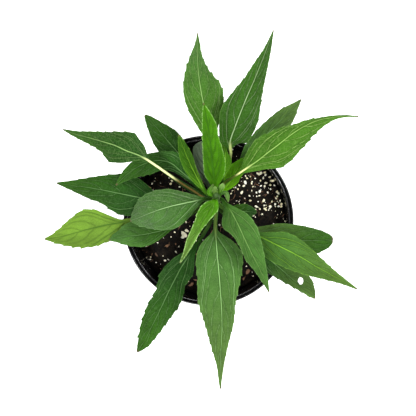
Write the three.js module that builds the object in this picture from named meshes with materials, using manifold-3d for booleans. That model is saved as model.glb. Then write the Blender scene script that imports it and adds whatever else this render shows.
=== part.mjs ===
import * as THREE from 'three';
import Module from 'manifold-3d';
import { mergeVertices } from 'three/addons/utils/BufferGeometryUtils.js';

const wasm = await Module();
wasm.setup();

// Young coneflower in a round nursery pot. Millimetres, +Z up, the pot's flat foot at z = 0.
// Seen from above, image right is +X and image up is +Y.

// Pot
const POT_HEIGHT = 165;
const POT_RIM_RADIUS = 82.5;
const POT_FOOT_RADIUS = 65;
const POT_WALL = 1.7;
const POT_FLOOR = 3;
const POT_SIDES = 48;
const DRAIN_HOLES = 8;
const DRAIN_RADIUS = 6.5;

// Soil and stem
const GAP = 0.3;
const SOIL_LEVEL = 144.5;
const SOIL_SIDES = 40;
const SOIL_RINGS = [10, 20, 30, 38, 46, 53, 59, 64, 69, 73];
const STEM_FOOT = 139;
const STEM_AXIS = [
  [5.8, 16.5, STEM_FOOT, 6.2],
  [5.8, 17, 152, 6],
  [6.1, 18.3, 172, 4.9],
  [6.6, 20.5, 196, 4],
  [6.9, 22.8, 216, 3.3],
  [6.8, 24, 226, 2.5],
];

// Leaves
const BLADE = 0.8;
const COLUMNS = [-1, -0.55, 0, 0.55, 1];

// The photograph looks straight down. Leaf rows give photo pixels (u, v) and a height z,
// and this view turns them into the frame.
const VIEW = { x: -0.5, y: 12, z: 1365, focal: 1241, centre: 208 };

function millimetresPerPixel(z) {
  return (VIEW.z - z) / VIEW.focal;
}

function place(u, v, z) {
  const k = millimetresPerPixel(z);
  return [VIEW.x + (u - VIEW.centre) * k, VIEW.y - (v - VIEW.centre) * k, z];
}

function smooth(a, b, x) {
  const t = Math.min(1, Math.max(0, (x - a) / (b - a)));
  return t * t * (3 - 2 * t);
}

// A curve through rows of numbers; the first three of each row are a point.
class RowCurve {
  constructor(rows) {
    this.rows = rows;
    this.knots = [0];
    for (let i = 1; i < rows.length; i++) {
      const [a, b] = [rows[i - 1], rows[i]];
      const step = Math.hypot(b[0] - a[0], b[1] - a[1], b[2] - a[2]);
      this.knots.push(this.knots[i - 1] + step);
    }
    this.length = this.knots[rows.length - 1];
  }

  slope(i, c) {
    const { rows, knots } = this;
    const a = Math.max(0, i - 1);
    const b = Math.min(rows.length - 1, i + 1);
    return (rows[b][c] - rows[a][c]) / (knots[b] - knots[a]);
  }

  at(s) {
    const { rows, knots } = this;
    let i = 0;
    while (i < rows.length - 2 && s > knots[i + 1]) i += 1;
    const h = knots[i + 1] - knots[i];
    const t = (s - knots[i]) / h;
    const t2 = t * t;
    const t3 = t2 * t;
    return rows[i].map((p, c) => {
      const q = rows[i + 1][c];
      return (2 * t3 - 3 * t2 + 1) * p + (t3 - 2 * t2 + t) * h * this.slope(i, c)
        + (3 * t2 - 2 * t3) * q + (t3 - t2) * h * this.slope(i + 1, c);
    });
  }
}

const stemCurve = new RowCurve(STEM_AXIS);

// Centre and radius of the stem at a height.
function stemAt(z) {
  let [low, high] = [0, stemCurve.length];
  for (let i = 0; i < 40; i++) {
    const middle = (low + high) / 2;
    if (stemCurve.at(middle)[2] < z) low = middle;
    else high = middle;
  }
  return stemCurve.at(low);
}

// Clearance of a point from the stem's side.
function stemClearance(p) {
  const [x, y, , r] = stemAt(p.z);
  return Math.hypot(p.x - x, p.y - y) - r;
}

function geometryFrom(points, faces) {
  const geometry = new THREE.BufferGeometry();
  geometry.setAttribute('position', new THREE.Float32BufferAttribute(points.flat(), 3));
  geometry.setIndex(faces.flat());
  return geometry;
}

function toManifold(geometry) {
  const bare = new THREE.BufferGeometry();
  bare.setAttribute('position', geometry.getAttribute('position'));
  if (geometry.getIndex()) bare.setIndex(geometry.getIndex());
  const merged = mergeVertices(bare, 1e-4);
  const vertProperties = new Float32Array(merged.getAttribute('position').array);
  const triVerts = new Uint32Array(merged.getIndex().array);
  return new wasm.Manifold(new wasm.Mesh({ numProp: 3, vertProperties, triVerts }));
}

function toGeometry(solid) {
  const { vertProperties, triVerts, numProp } = solid.getMesh();
  const points = [];
  for (let i = 0; i < vertProperties.length; i += numProp) {
    points.push([vertProperties[i], vertProperties[i + 1], vertProperties[i + 2]]);
  }
  return geometryFrom(points, [Array.from(triVerts)]);
}

// Rings of equal count joined into one closed body; each ring runs the same way round.
function loft(rings) {
  const count = rings[0].length;
  const points = rings.flat().map((p) => [p.x, p.y, p.z]);
  const faces = [];
  for (let i = 0; i < rings.length - 1; i++) {
    for (let j = 0; j < count; j++) {
      const a = i * count + j;
      const b = i * count + ((j + 1) % count);
      faces.push([a, b, b + count], [a, b + count, a + count]);
    }
  }
  return { points, faces };
}

// One leaf: a stalk that widens into a toothed blade. The ring of each station has the upper
// face's columns from left to right and then the lower face's from right to left.
class Leaf {
  constructor(shape) {
    this.shape = { fold: 0.12, arch: 0.2, tilt: [0, 0, 0], wave: 0.06, waves: 3, phase: 0,
      tooth: 1.5, rib: 1.1, thick: BLADE, ...shape };
    const { seat, rows, blade } = this.shape;
    const [x, y, z] = stemAt(seat);
    const first = rows[0];
    const start = [x, y, z, first[3], first[4]];
    const placed = rows.map(([u, v, height, left, right]) => {
      const k = millimetresPerPixel(height);
      return [...place(u, v, height), left * k, right * k];
    });
    start[3] = placed[0][3];
    start[4] = placed[0][4];
    this.curve = new RowCurve([start, ...placed]);
    this.bladeStart = this.curve.knots[blade + 1];
    this.start = this.findStart();
  }

  findStart() {
    let s = 0;
    const radius = Math.max(this.curve.rows[0][3], 1);
    while (stemClearance(this.point(s)) < GAP + 0.5 * radius) s += 0.1;
    return s;
  }

  point(s) {
    const [x, y, z] = this.curve.at(s);
    return new THREE.Vector3(x, y, z);
  }

  tangent(s) {
    const e = 0.5;
    const a = this.point(Math.max(0, s - e));
    const b = this.point(Math.min(this.curve.length, s + e));
    return b.sub(a).normalize();
  }

  // Share of the blade passed at s: below 0 on the stalk.
  share(s) {
    return (s - this.bladeStart) / (this.curve.length - this.bladeStart);
  }

  // Middle of the sheet at lateral position c (-1 left edge, 1 right edge).
  sheet(s, c, grow = 0, ahead = 0) {
    const { fold, arch, tilt, wave, waves, phase } = this.shape;
    const q = this.share(s);
    const [, , , left, right] = this.curve.at(s);
    const along = this.tangent(s);
    const across = new THREE.Vector3(along.y, -along.x, 0).normalize();
    const width = Math.max(0.45, c < 0 ? left : right) + grow;
    const open = smooth(-0.02, 0.2, q);
    const t = Math.min(1, Math.max(0, q));
    const lean = t < 0.5 ? tilt[0] + (tilt[1] - tilt[0]) * 2 * t
      : tilt[1] + (tilt[2] - tilt[1]) * (2 * t - 1);
    const side = Math.abs(c);
    const ripple = wave * Math.sin(2 * Math.PI * waves * t + phase + (c < 0 ? 2 : 0)) * side * side;
    const rise = open * (fold * side - arch * side * side + ripple) - lean * open * c;
    const p = this.point(s).addScaledVector(across, c * width);
    p.z += rise * width;
    return p.addScaledVector(along, ahead * side);
  }

  ring(s, grow = 0, ahead = 0) {
    const { rib, thick } = this.shape;
    const q = this.share(s);
    const [, , , left, right] = this.curve.at(s);
    const stalk = 1 - smooth(-0.06, 0.1, q);
    const core = Math.min(left, right, 2.6) * stalk;
    const upper = [];
    const lower = [];
    for (const c of COLUMNS) {
      const e = 0.3;
      const before = this.sheet(Math.max(0, s - e), c);
      const after = this.sheet(Math.min(this.curve.length, s + e), c);
      const d = 0.1;
      const low = this.sheet(s, Math.max(-1, c - d));
      const high = this.sheet(s, Math.min(1, c + d));
      const normal = high.sub(low).cross(after.sub(before)).normalize();
      const roundness = Math.sqrt(Math.max(0, 1 - c * c));
      const above = thick / 2 + core * 0.45 * roundness;
      const keel = c === 0 ? rib * (1 - 0.8 * Math.max(0, q)) * (1 - stalk) : 0;
      const below = thick / 2 + core * 0.75 * roundness + keel;
      const p = this.sheet(s, c, grow, ahead);
      upper.push(p.clone().addScaledVector(normal, above));
      lower.unshift(p.clone().addScaledVector(normal, -below));
    }
    return [...upper, ...lower];
  }

  // The first ring laid on the stem's side, one gap off it.
  seatRing(ring, s) {
    const along = this.tangent(s);
    return ring.map((p) => {
      let [low, high] = [-9, 9];
      for (let i = 0; i < 30; i++) {
        const middle = (low + high) / 2;
        const q = p.clone().addScaledVector(along, middle);
        if (stemClearance(q) < GAP + 0.2) low = middle;
        else high = middle;
      }
      return p.clone().addScaledVector(along, low);
    });
  }

  stations() {
    const { stalkSteps, bladeSteps } = this.shape;
    const list = [this.start];
    const from = this.start + 4;
    const to = this.bladeStart;
    for (let i = 0; i < stalkSteps; i++) list.push(from + (to - from) * (i / stalkSteps));
    const step = (this.curve.length - this.bladeStart) / bladeSteps;
    for (let i = 0; i <= bladeSteps; i++) list.push(this.bladeStart + i * step);
    return list;
  }

  geometry() {
    const { stalkSteps, bladeSteps, tooth } = this.shape;
    const stations = this.stations();
    const step = (this.curve.length - this.bladeStart) / bladeSteps;
    const rings = stations.map((s, i) => {
      const j = i - stalkSteps - 1;
      const q = this.share(s);
      const cut = smooth(0.04, 0.22, q) * (1 - smooth(0.86, 0.97, q));
      const out = j > 0 && j % 2 === 1;
      const [, , , left, right] = this.curve.at(s);
      const depth = cut * tooth * Math.min(1, (left + right) / 18);
      return this.ring(s, depth * (out ? 0.55 : -0.45), out ? 0.3 * step * cut : 0);
    });
    rings[0] = this.seatRing(rings[0], stations[0]);
    const { points, faces } = loft(rings);
    const n = COLUMNS.length;
    const size = 2 * n;
    const last = (rings.length - 1) * size;
    for (let i = 0; i < n - 1; i++) {
      const [a, b] = [i, i + 1];
      const [d, c] = [size - 1 - i, size - 2 - i];
      faces.push([a, d, c], [a, c, b]);
      faces.push([last + a, last + b, last + c], [last + a, last + c, last + d]);
    }
    return geometryFrom(points, faces);
  }
}

const LIGHT = 0x8cc63f;
const BRIGHT = 0x6fb53a;
const MIDDLE = 0x5c9c41;
const DARK = 0x417d33;
const SATIN = 0x86b966;
const PALE = 0xb9d97c;
const GREY = 0x5d7d5a;

const BUD = { colour: PALE, stalkSteps: 0, bladeSteps: 5, tooth: 0, rib: 0.3, fold: 0.3 };

// Rows: u, v (photo pixels), z (mm), half-width left and right (photo pixels), from stem to tip.
// `seat` is the height on the stem and `blade` the row where the stalk ends.
const LEAVES = {
  leaf_north_long: {
    colour: MIDDLE, seat: 164, blade: 3, stalkSteps: 4, bladeSteps: 18, waves: 4,
    rows: [
      [215, 190, 172, 2.3, 2.3], [214, 174, 186, 2, 2], [212.5, 157, 199, 2, 2],
      [211, 142, 208, 3.5, 3.5], [207.5, 125, 214, 10, 12], [204, 107, 218, 16, 20],
      [200.7, 89, 218, 17.7, 21], [198.4, 73, 213, 14, 12], [197.5, 56, 203, 7.5, 5],
      [197.5, 43, 194, 2.4, 2.4], [197.5, 33, 188, 0.5, 0.5],
    ],
  },
  leaf_north_east_long: {
    colour: MIDDLE, seat: 180, blade: 4, stalkSteps: 5, bladeSteps: 18, waves: 4, phase: 1,
    rows: [
      [222.5, 187, 183, 2.2, 2.2], [227, 173, 189, 1.9, 1.9], [229.7, 161, 195, 1.6, 1.6],
      [230.8, 153.5, 203, 1.5, 1.5], [230.3, 147, 216, 4, 3], [230.5, 140, 224, 11, 15], [235, 127, 231, 17, 19],
      [240, 114, 236, 19.5, 19.5], [246, 99, 238, 15.5, 16], [253, 83, 235, 10.5, 11.5],
      [260, 66, 227, 6.8, 8], [267, 48, 216, 2.6, 4.5], [273.5, 30, 206, 0.5, 0.5],
    ],
  },
  leaf_north_upright: {
    colour: BRIGHT, seat: 212, blade: 1, stalkSteps: 1, bladeSteps: 16, tooth: 1.1,
    fold: 0.3, arch: 0.25,
    rows: [
      [214.5, 189, 216, 2.4, 2.6], [214.2, 182, 222, 5, 6.5], [213.5, 174, 230, 9, 11.5],
      [212.3, 163, 241, 9, 13], [211, 150, 254, 8.5, 11.5], [209.5, 137, 267, 7.5, 9],
      [207.7, 125, 278, 5.8, 8.5], [205.7, 114, 287, 3.7, 5], [203.5, 103, 295, 0.5, 0.5],
    ],
  },
  leaf_east_twisted: {
    colour: MIDDLE, seat: 196, blade: 3, stalkSteps: 3, bladeSteps: 20, waves: 3, phase: 2,
    tilt: [0.1, 0.05, 0.5],
    rows: [
      [225, 182.5, 208, 2.2, 2.2], [232, 178, 216, 1.8, 1.8], [240, 172.8, 223, 1.7, 1.7],
      [245, 169.4, 227, 5.5, 4], [250, 166, 230, 10.5, 6.5], [258, 160.5, 234, 15, 11],
      [268, 152.5, 237, 17.5, 19.5], [278, 145, 238, 15.5, 20.5], [288, 137, 237, 11.5, 18.5],
      [298, 130, 234, 7, 16.5], [308, 124.5, 230, 5, 12.5], [320, 119.8, 224, 2.4, 8],
      [333, 117.2, 217, 1.8, 3], [346, 116, 210, 1.1, 1.2], [358, 116.5, 205, 0.6, 0.6],
    ],
  },
  leaf_east_inner: {
    colour: BRIGHT, seat: 184, blade: 1, stalkSteps: 2, bladeSteps: 9, tooth: 0.6,
    rows: [
      [223, 190.5, 192, 2, 2], [225.5, 187.5, 194, 4, 4], [231, 180.5, 198, 7.5, 6.5],
      [235.5, 172.5, 202, 8.5, 7], [240, 165, 205, 6, 6], [244.5, 157.5, 206, 0.6, 0.6],
    ],
  },
  leaf_north_east_low: {
    colour: DARK, seat: 158, blade: 2, stalkSteps: 4, bladeSteps: 14, phase: 3,
    rows: [
      [224, 188, 165, 2.1, 2.1], [235, 173, 175, 2, 2], [242, 163.5, 180, 4, 4],
      [252, 152, 185, 9.5, 11], [263, 138, 187, 10, 13], [275, 126, 185, 9.7, 12],
      [287, 114.5, 179, 8, 9], [295.5, 105.5, 174, 3.6, 3.8], [301, 99.5, 170, 0.6, 0.6],
    ],
  },
  leaf_north_west_narrow: {
    colour: BRIGHT, seat: 206, blade: 1, stalkSteps: 2, bladeSteps: 12, tooth: 0.9,
    fold: 0.25,
    rows: [
      [206, 192.5, 210, 2, 2], [202.5, 188, 214, 2.4, 2.4], [198.3, 180, 220, 5.5, 3],
      [193, 170, 225, 7.5, 3.8], [187.5, 158, 230, 7.5, 5.5], [183, 147, 233, 5, 4.5],
      [178.5, 135, 234, 0.6, 0.6],
    ],
  },
  leaf_north_west_low: {
    colour: DARK, seat: 158, blade: 2, stalkSteps: 3, bladeSteps: 12, phase: 1,
    rows: [
      [205, 191, 165, 2.1, 2.1], [197, 181, 171, 2, 2], [190, 171, 176, 4, 4],
      [178, 153, 181, 12, 11.5], [166.5, 139.5, 181, 13.5, 13], [156, 127, 175, 9, 7.5],
      [149, 119.5, 169, 4.5, 4], [145, 115, 166, 1.2, 1.2],
    ],
  },
  leaf_west_arched: {
    colour: DARK, seat: 172, blade: 2, stalkSteps: 2, bladeSteps: 14, tooth: 1.2, phase: 2,
    rows: [
      [203, 194, 178, 2.1, 2.1], [197, 186.5, 186, 2, 2], [191.5, 180.5, 192, 3, 4.5],
      [180, 170.5, 202, 4.5, 12], [171, 163.2, 207, 8, 11.5], [160, 160.5, 209, 10.3, 9],
      [148, 162.5, 207, 12, 8.5], [136, 168, 202, 9.5, 7.5], [126, 175.3, 197, 5.5, 5],
      [116, 185, 193, 0.6, 0.6],
    ],
  },
  leaf_west_low: {
    colour: DARK, seat: 152, blade: 3, stalkSteps: 4, bladeSteps: 18, waves: 4,
    rows: [
      [203, 203.5, 157, 2.2, 2.2], [180, 203, 167, 2, 2], [163, 202, 174, 2, 2],
      [157, 201.2, 177, 5, 5], [149, 199.5, 180, 13, 11], [137, 197, 183, 19, 17.6],
      [122, 194, 185, 20.5, 20.5], [105, 190.5, 185, 13.8, 16], [88, 187.5, 181, 10.3, 10.2],
      [72, 185.5, 175, 5, 5.2], [56.5, 183, 168, 0.6, 0.6],
    ],
  },
  leaf_west_stalked: {
    colour: MIDDLE, seat: 180, blade: 5, stalkSteps: 5, bladeSteps: 16, phase: 2,
    rows: [
      [203, 197, 184, 2.5, 2.5], [196, 192.5, 190, 2.8, 2.8], [188, 187.5, 198, 2.6, 2.6],
      [178, 181, 207, 2.1, 2.1], [163, 170.5, 219, 1.5, 1.5], [148, 160.3, 229, 1.6, 2.2],
      [144, 158, 231, 2.6, 6], [138, 155, 233, 6, 12.5], [127, 151, 235, 13, 19.6],
      [115, 145.5, 233, 17.5, 15], [104, 142, 227, 10.3, 10.8], [90, 138, 217, 6.3, 7],
      [76, 134.3, 206, 3.2, 3.5], [63, 129.5, 197, 0.6, 0.6],
    ],
  },
  leaf_west_curled: {
    colour: SATIN, seat: 198, blade: 1, stalkSteps: 1, bladeSteps: 18, arch: 0.35,
    tooth: 1.3, phase: 1,
    rows: [
      [203.5, 199, 205, 2.2, 2.2], [200, 199.8, 208, 4, 3.6], [193, 201.4, 213, 9, 7.5],
      [184, 203.3, 218, 16.5, 12], [172, 206, 222, 22, 17.5], [160, 209.5, 222, 21.5, 19.5],
      [149, 213.5, 217, 17, 18.5], [140.5, 217, 208, 11, 13.5], [134, 219.6, 199, 5, 6],
      [130.5, 221, 194, 0.8, 0.8],
    ],
  },
  leaf_south_west_tucked: {
    colour: DARK, seat: 165, blade: 2, stalkSteps: 4, bladeSteps: 12, phase: 2,
    rows: [
      [202, 206, 170, 2.1, 2.1], [190, 214.5, 176, 2, 2], [174, 224.5, 182, 2.4, 3],
      [165, 229.3, 184, 5, 7], [154, 232.5, 186, 9.5, 12], [142, 234.8, 187, 12, 14],
      [130, 236, 187, 10, 13.5], [119, 237.3, 185, 6.3, 6.5], [109, 240, 183, 0.6, 0.6],
    ],
  },
  leaf_west_far: {
    colour: LIGHT, seat: 158, blade: 3, stalkSteps: 4, bladeSteps: 18, waves: 4, phase: 3,
    rows: [
      [203, 207.5, 161, 2.2, 2.2], [180, 213.5, 168, 2, 2], [150, 219, 174, 2, 2],
      [128, 221, 178, 4, 2.5], [120, 222.6, 179, 12, 3.6], [110, 224.3, 179, 15.7, 9.7],
      [100, 226.5, 178, 17.5, 17], [88, 229.3, 176, 18.3, 20], [76, 232.7, 172, 15.5, 16],
      [64, 236, 167, 10.2, 10], [54, 238, 162, 5, 4.6], [44.5, 239, 158, 0.6, 0.6],
    ],
  },
  leaf_south_west_folded: {
    colour: BRIGHT, seat: 214, blade: 1, stalkSteps: 1, bladeSteps: 14, fold: 0.6,
    arch: 0.15, tooth: 1, wave: 0.1,
    rows: [
      [214.8, 199.5, 218, 3, 2.4], [213.7, 202.5, 221, 5.6, 4.2], [211, 206.5, 225, 8.2, 7.2],
      [206.3, 214, 230, 6.5, 8.8], [200.5, 224, 233, 4.8, 6.6], [195.5, 233, 233, 3.8, 5.5],
      [190.5, 242.5, 230, 3.6, 4.6], [186, 252, 226, 2.2, 2.6], [180, 263, 219, 0.6, 0.6],
    ],
  },
  leaf_south_long: {
    colour: MIDDLE, seat: 172, blade: 3, stalkSteps: 3, bladeSteps: 22, waves: 5, wave: 0.07,
    rows: [
      [215.8, 212, 180, 2.3, 2.3], [215.5, 220, 190, 2, 2], [215.4, 227, 197, 2, 2],
      [215.5, 232, 201, 3.5, 3.5], [216.3, 243, 207, 17, 15.5], [217.5, 257, 212, 25, 21.5],
      [219.3, 277, 215, 22, 22], [221, 300, 212, 15.2, 23], [222, 322, 204, 12, 17.8],
      [221.3, 345, 192, 7, 11], [220.3, 366, 181, 3.6, 3.8], [220.2, 380, 174, 1.8, 1.7],
      [220.5, 389, 170, 0.6, 0.6],
    ],
  },
  leaf_south_east_inner: {
    colour: BRIGHT, seat: 190, blade: 2, stalkSteps: 2, bladeSteps: 18, phase: 2, arch: 0.3,
    rows: [
      [221.5, 199.5, 198, 2.1, 2.1], [226, 204.5, 206, 2.2, 3.4], [229.5, 208.8, 212, 4.8, 7.5],
      [236, 220.5, 222, 13.3, 14.7], [241.5, 232, 228, 16, 9.5], [247, 244, 231, 15, 7.8],
      [253, 256, 230, 11.7, 8.2], [259, 267.5, 226, 7.6, 5.8], [264, 279, 220, 4.2, 3.2],
      [269, 292, 213, 0.6, 0.6],
    ],
  },
  leaf_east_broad: {
    colour: BRIGHT, seat: 176.5, blade: 3, stalkSteps: 4, bladeSteps: 18, waves: 4, phase: 1,
    rows: [
      [225, 209.5, 180, 2.1, 2.1], [237, 221, 189, 2, 2], [249, 230, 198, 2, 2],
      [258, 235.5, 204, 4, 4.5], [267, 240, 209, 8.5, 14], [278, 245.5, 213, 15, 17],
      [291, 252, 214, 15.8, 16.8], [304, 259, 212, 12.8, 15.2], [317, 267, 207, 9.7, 11],
      [330, 274, 200, 6, 7], [343, 281, 193, 3, 3.5], [357, 289, 186, 0.6, 0.6],
    ],
  },
  leaf_east_low: {
    colour: DARK, seat: 158, blade: 2, stalkSteps: 4, bladeSteps: 12, phase: 1,
    rows: [
      [226, 209, 163, 2.1, 2.1], [242, 222, 172, 2, 2], [252, 229.5, 177, 4, 4],
      [262, 235, 181, 10, 10], [276, 238.5, 184, 15.2, 14.5], [295, 240.2, 184, 15.5, 15.5],
      [312, 240.5, 181, 12.8, 14.3], [324, 239.8, 177, 7.5, 9.5], [331.5, 238.8, 174, 1.5, 1.5],
    ],
  },
  leaf_south_east_low: {
    colour: DARK, seat: 154.5, blade: 2, stalkSteps: 3, bladeSteps: 12, phase: 3,
    hole: { u: 300.5, v: 281, across: 5, along: 7 },
    rows: [
      [225, 215, 160, 2, 2], [242, 232, 168, 2, 2], [254, 245, 171, 5, 5],
      [268, 258, 173, 12, 10.5], [282, 270, 174, 14, 10], [294, 280.5, 174, 14.5, 6.6],
      [304, 288.5, 172, 12, 4.6], [310.5, 294, 171, 6.5, 3.2], [315, 298.5, 170, 0.8, 0.8],
    ],
  },
  leaf_south_west_low: {
    colour: DARK, seat: 152, blade: 3, stalkSteps: 3, bladeSteps: 18, waves: 5, wave: 0.12,
    phase: 1,
    rows: [
      [210.5, 221, 160, 2.2, 2.2], [204, 233, 167, 2, 2], [196, 245.5, 173, 2.6, 2.6],
      [189.5, 255, 177, 6.5, 6.5], [181.5, 267, 179, 13.5, 12.5], [174.5, 280, 180, 12.5, 15.7],
      [167, 295, 180, 15.8, 12.5], [160, 310, 178, 13.5, 13.5], [153, 324, 174, 10.6, 12],
      [145.5, 339, 169, 7.4, 8], [140.5, 347, 166, 4.2, 3.8], [137, 352, 164, 0.9, 0.9],
    ],
  },
  leaf_east_small: {
    colour: DARK, seat: 150.5, blade: 1, stalkSteps: 2, bladeSteps: 8, tooth: 0.5,
    rows: [
      [226, 208, 154, 1.7, 1.7], [231, 209.8, 156.5, 3.5, 3.5], [236, 210.8, 159, 6.3, 6.3],
      [244, 211.3, 161, 7.2, 7], [251, 211.8, 161, 5.5, 5.5], [257, 212.3, 160, 0.6, 0.6],
    ],
  },
  leaf_north_low: {
    colour: GREY, seat: 152, blade: 1, stalkSteps: 2, bladeSteps: 10, tooth: 0.5, phase: 1,
    rows: [
      [209, 187, 158, 1.9, 1.9], [206.5, 181, 160, 3, 3], [205, 172, 163, 8.5, 7],
      [205, 163, 165, 11, 10.5], [206, 154, 168, 13.3, 14], [207.5, 147, 170, 12.8, 13.5],
      [208.2, 142.5, 171, 7, 8], [208.4, 140.5, 171, 2, 2],
    ],
  },
  leaf_north_inner: {
    colour: BRIGHT, seat: 204, blade: 1, stalkSteps: 1, bladeSteps: 9, tooth: 0.6,
    rows: [
      [217.5, 184, 209, 1.8, 1.8], [219.5, 179, 211, 3, 3], [222, 172, 212, 5, 4.5],
      [225.3, 162, 211, 6.3, 6.5], [225.3, 153, 208.5, 6.3, 2.7], [223.9, 146, 206, 4, 1.8],
      [223, 141, 205, 0.6, 0.6],
    ],
  },
  bud_leaf_pointed: {
    ...BUD, seat: 221, blade: 0,
    rows: [
      [210.5, 194, 226, 1.3, 1.3], [209.3, 191.8, 229, 1.8, 1.8], [211, 188.3, 233, 1.8, 1.8],
      [213.7, 184.5, 237, 0.6, 0.6],
    ],
  },
  bud_leaf_pale: {
    ...BUD, seat: 222, blade: 0,
    rows: [
      [215.5, 190.2, 228.5, 1.3, 1.3], [215.4, 188.4, 231.5, 2.1, 2.1],
      [216.6, 186.2, 235, 0.6, 0.6],
    ],
  },
  bud_leaf_broad: {
    ...BUD, seat: 221, blade: 0,
    rows: [
      [220, 191.9, 227, 1.3, 1.3], [221, 189.5, 230, 2, 2], [222.1, 186.4, 233, 2.8, 2.8],
      [223.8, 183.2, 236, 0.6, 0.6],
    ],
  },
  bud_leaf_strip: {
    ...BUD, seat: 220, blade: 0,
    rows: [
      [223, 192.8, 223, 1.3, 1.3], [226.3, 192.6, 226, 1.8, 1.8], [228.5, 196.5, 226.5, 2, 2],
      [229.2, 202, 223.5, 0.6, 0.6],
    ],
  },
};


// A profile of [radius, height] turned about the upright axis, from axis to axis.
function revolve(profile, sides) {
  const points = [[0, 0, profile[0][1]]];
  const inner = profile.slice(1, -1);
  for (const [r, z] of inner) {
    for (let j = 0; j < sides; j++) {
      const a = (2 * Math.PI * j) / sides;
      points.push([r * Math.cos(a), r * Math.sin(a), z]);
    }
  }
  points.push([0, 0, profile[profile.length - 1][1]]);
  return geometryFrom(points, closedFaces(inner.length, sides));
}

// Faces of stacked rings between a first and a last point on the axis.
function closedFaces(rings, sides) {
  const faces = [];
  const end = rings * sides + 1;
  for (let j = 0; j < sides; j++) {
    const k = (j + 1) % sides;
    faces.push([0, 1 + k, 1 + j]);
    for (let i = 0; i < rings - 1; i++) {
      const a = 1 + i * sides;
      const b = a + sides;
      faces.push([a + j, a + k, b + k], [a + j, b + k, b + j]);
    }
    faces.push([end - sides + j, end - sides + k, end]);
  }
  return faces;
}

const WALL_SLOPE = (77.6 - POT_FOOT_RADIUS) / 150;

function innerWall(z) {
  return POT_FOOT_RADIUS - POT_WALL + WALL_SLOPE * z;
}

function potGeometry() {
  const inside = POT_RIM_RADIUS - 5.3;
  const profile = [
    [0, 0], [POT_FOOT_RADIUS - 1, 0], [POT_FOOT_RADIUS, 1], [77.6, 150],
    [POT_RIM_RADIUS - 1.4, 152], [POT_RIM_RADIUS, 153.5], [POT_RIM_RADIUS, 163.2],
    [POT_RIM_RADIUS - 0.9, POT_HEIGHT], [POT_RIM_RADIUS - 2.3, 163.4],
    [POT_RIM_RADIUS - 3.2, 163.4], [POT_RIM_RADIUS - 4.3, POT_HEIGHT - 0.3],
    [inside, 163.6], [innerWall(151), 151], [innerWall(POT_FLOOR), POT_FLOOR], [0, POT_FLOOR],
  ];
  let pot = toManifold(revolve(profile, POT_SIDES));
  for (let i = 0; i < DRAIN_HOLES; i++) {
    const a = (2 * Math.PI * (i + 0.5)) / DRAIN_HOLES;
    const drain = new THREE.CylinderGeometry(DRAIN_RADIUS, DRAIN_RADIUS, 11, 12);
    drain.rotateX(Math.PI / 2);
    drain.translate(60.5 * Math.cos(a), 60.5 * Math.sin(a), 4.5);
    pot = pot.subtract(toManifold(drain));
  }
  return toGeometry(pot);
}

// Rings of the stem, widened by `grow`, from its foot up to a height.
function stemGeometry(grow, top) {
  const sides = 14;
  const heights = [STEM_FOOT - grow, 147, 155, 163, 172, 182, 192, 202, 211, 219, 226];
  const used = heights.filter((z) => z <= top);
  const points = [[STEM_AXIS[0][0], STEM_AXIS[0][1], used[0]]];
  for (const z of used) {
    const [x, y, , r] = stemAt(Math.max(z, STEM_FOOT + 0.01));
    for (let j = 0; j < sides; j++) {
      const a = (2 * Math.PI * j) / sides;
      points.push([x + (r + grow) * Math.cos(a), y + (r + grow) * Math.sin(a), z]);
    }
  }
  const last = used[used.length - 1];
  const [x, y] = stemAt(last);
  points.push([x, y, last + 1.2]);
  return geometryFrom(points, closedFaces(used.length, sides));
}

function soilHeight(x, y) {
  const r = Math.hypot(x, y);
  const angle = Math.atan2(y, x);
  const mound = 3 * Math.exp(-((x - 6) ** 2 + (y - 14) ** 2) / 900);
  const lumps = 1.1 * Math.sin(x / 8 + 1) * Math.sin(y / 9) + 0.7 * Math.sin(x / 4.3 - y / 5.1 + 2);
  const sunk = 8 - 7 * Math.cos(angle - 0.6);
  return SOIL_LEVEL + mound + x / 22 + lumps - sunk * smooth(58, 76, r);
}

function soilGeometry() {
  const bottom = POT_FLOOR + GAP;
  const points = [[0, 0, bottom]];
  const ringOf = (radius, height) => {
    for (let j = 0; j < SOIL_SIDES; j++) {
      const a = (2 * Math.PI * j) / SOIL_SIDES;
      const [c, s] = [Math.cos(a), Math.sin(a)];
      const r = radius(c, s);
      points.push([r * c, r * s, height(r * c, r * s)]);
    }
  };
  const edge = (c, s) => innerWall(soilHeight(75.5 * c, 75.5 * s)) - 0.7;
  ringOf(() => innerWall(bottom) - 0.7, () => bottom);
  ringOf(edge, (x, y) => soilHeight(x, y));
  for (const r of [...SOIL_RINGS].reverse()) ringOf(() => r, soilHeight);
  points.push([0, 0, soilHeight(0, 0)]);
  let soil = toManifold(geometryFrom(points, closedFaces(SOIL_RINGS.length + 2, SOIL_SIDES)));
  for (const bit of crumbs()) soil = soil.add(toManifold(bit));
  return toGeometry(soil.subtract(toManifold(stemGeometry(GAP, 155))));
}

// White perlite grains and brown bark chips, half sunk in the soil.
function crumbs() {
  const grains = [
    [184, 234.5, 5], [146, 258, 1.3], [150, 259.5, 1.2], [156.5, 263, 1.4], [166, 260, 1.6],
    [176, 252, 1.3], [152, 183.5, 1.6], [172, 181, 1.3], [155, 178, 1.2], [186, 222, 1.2],
    [190, 226.5, 1.3], [188, 281, 1.5], [253, 276, 1.4],
  ];
  for (let i = 0; i < 26; i++) {
    const u = 237 + 45 * ((i * 0.618) % 1);
    const v = 171 + 44 * ((i * 0.755 + 0.2) % 1);
    grains.push([u, v, 1 + 0.6 * ((i * 0.37) % 1)]);
  }
  const bits = grains.map(([u, v, size], i) => crumb(u, v, [size, 0.8 * size, 0.7 * size], i));
  const chips = [[192, 284, 5], [248, 271, 6], [238, 281, 4], [167, 246, 4]];
  for (const [u, v, size] of chips) bits.push(crumb(u, v, [size, 1.8, 1.1], u));
  return bits;
}

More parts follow.
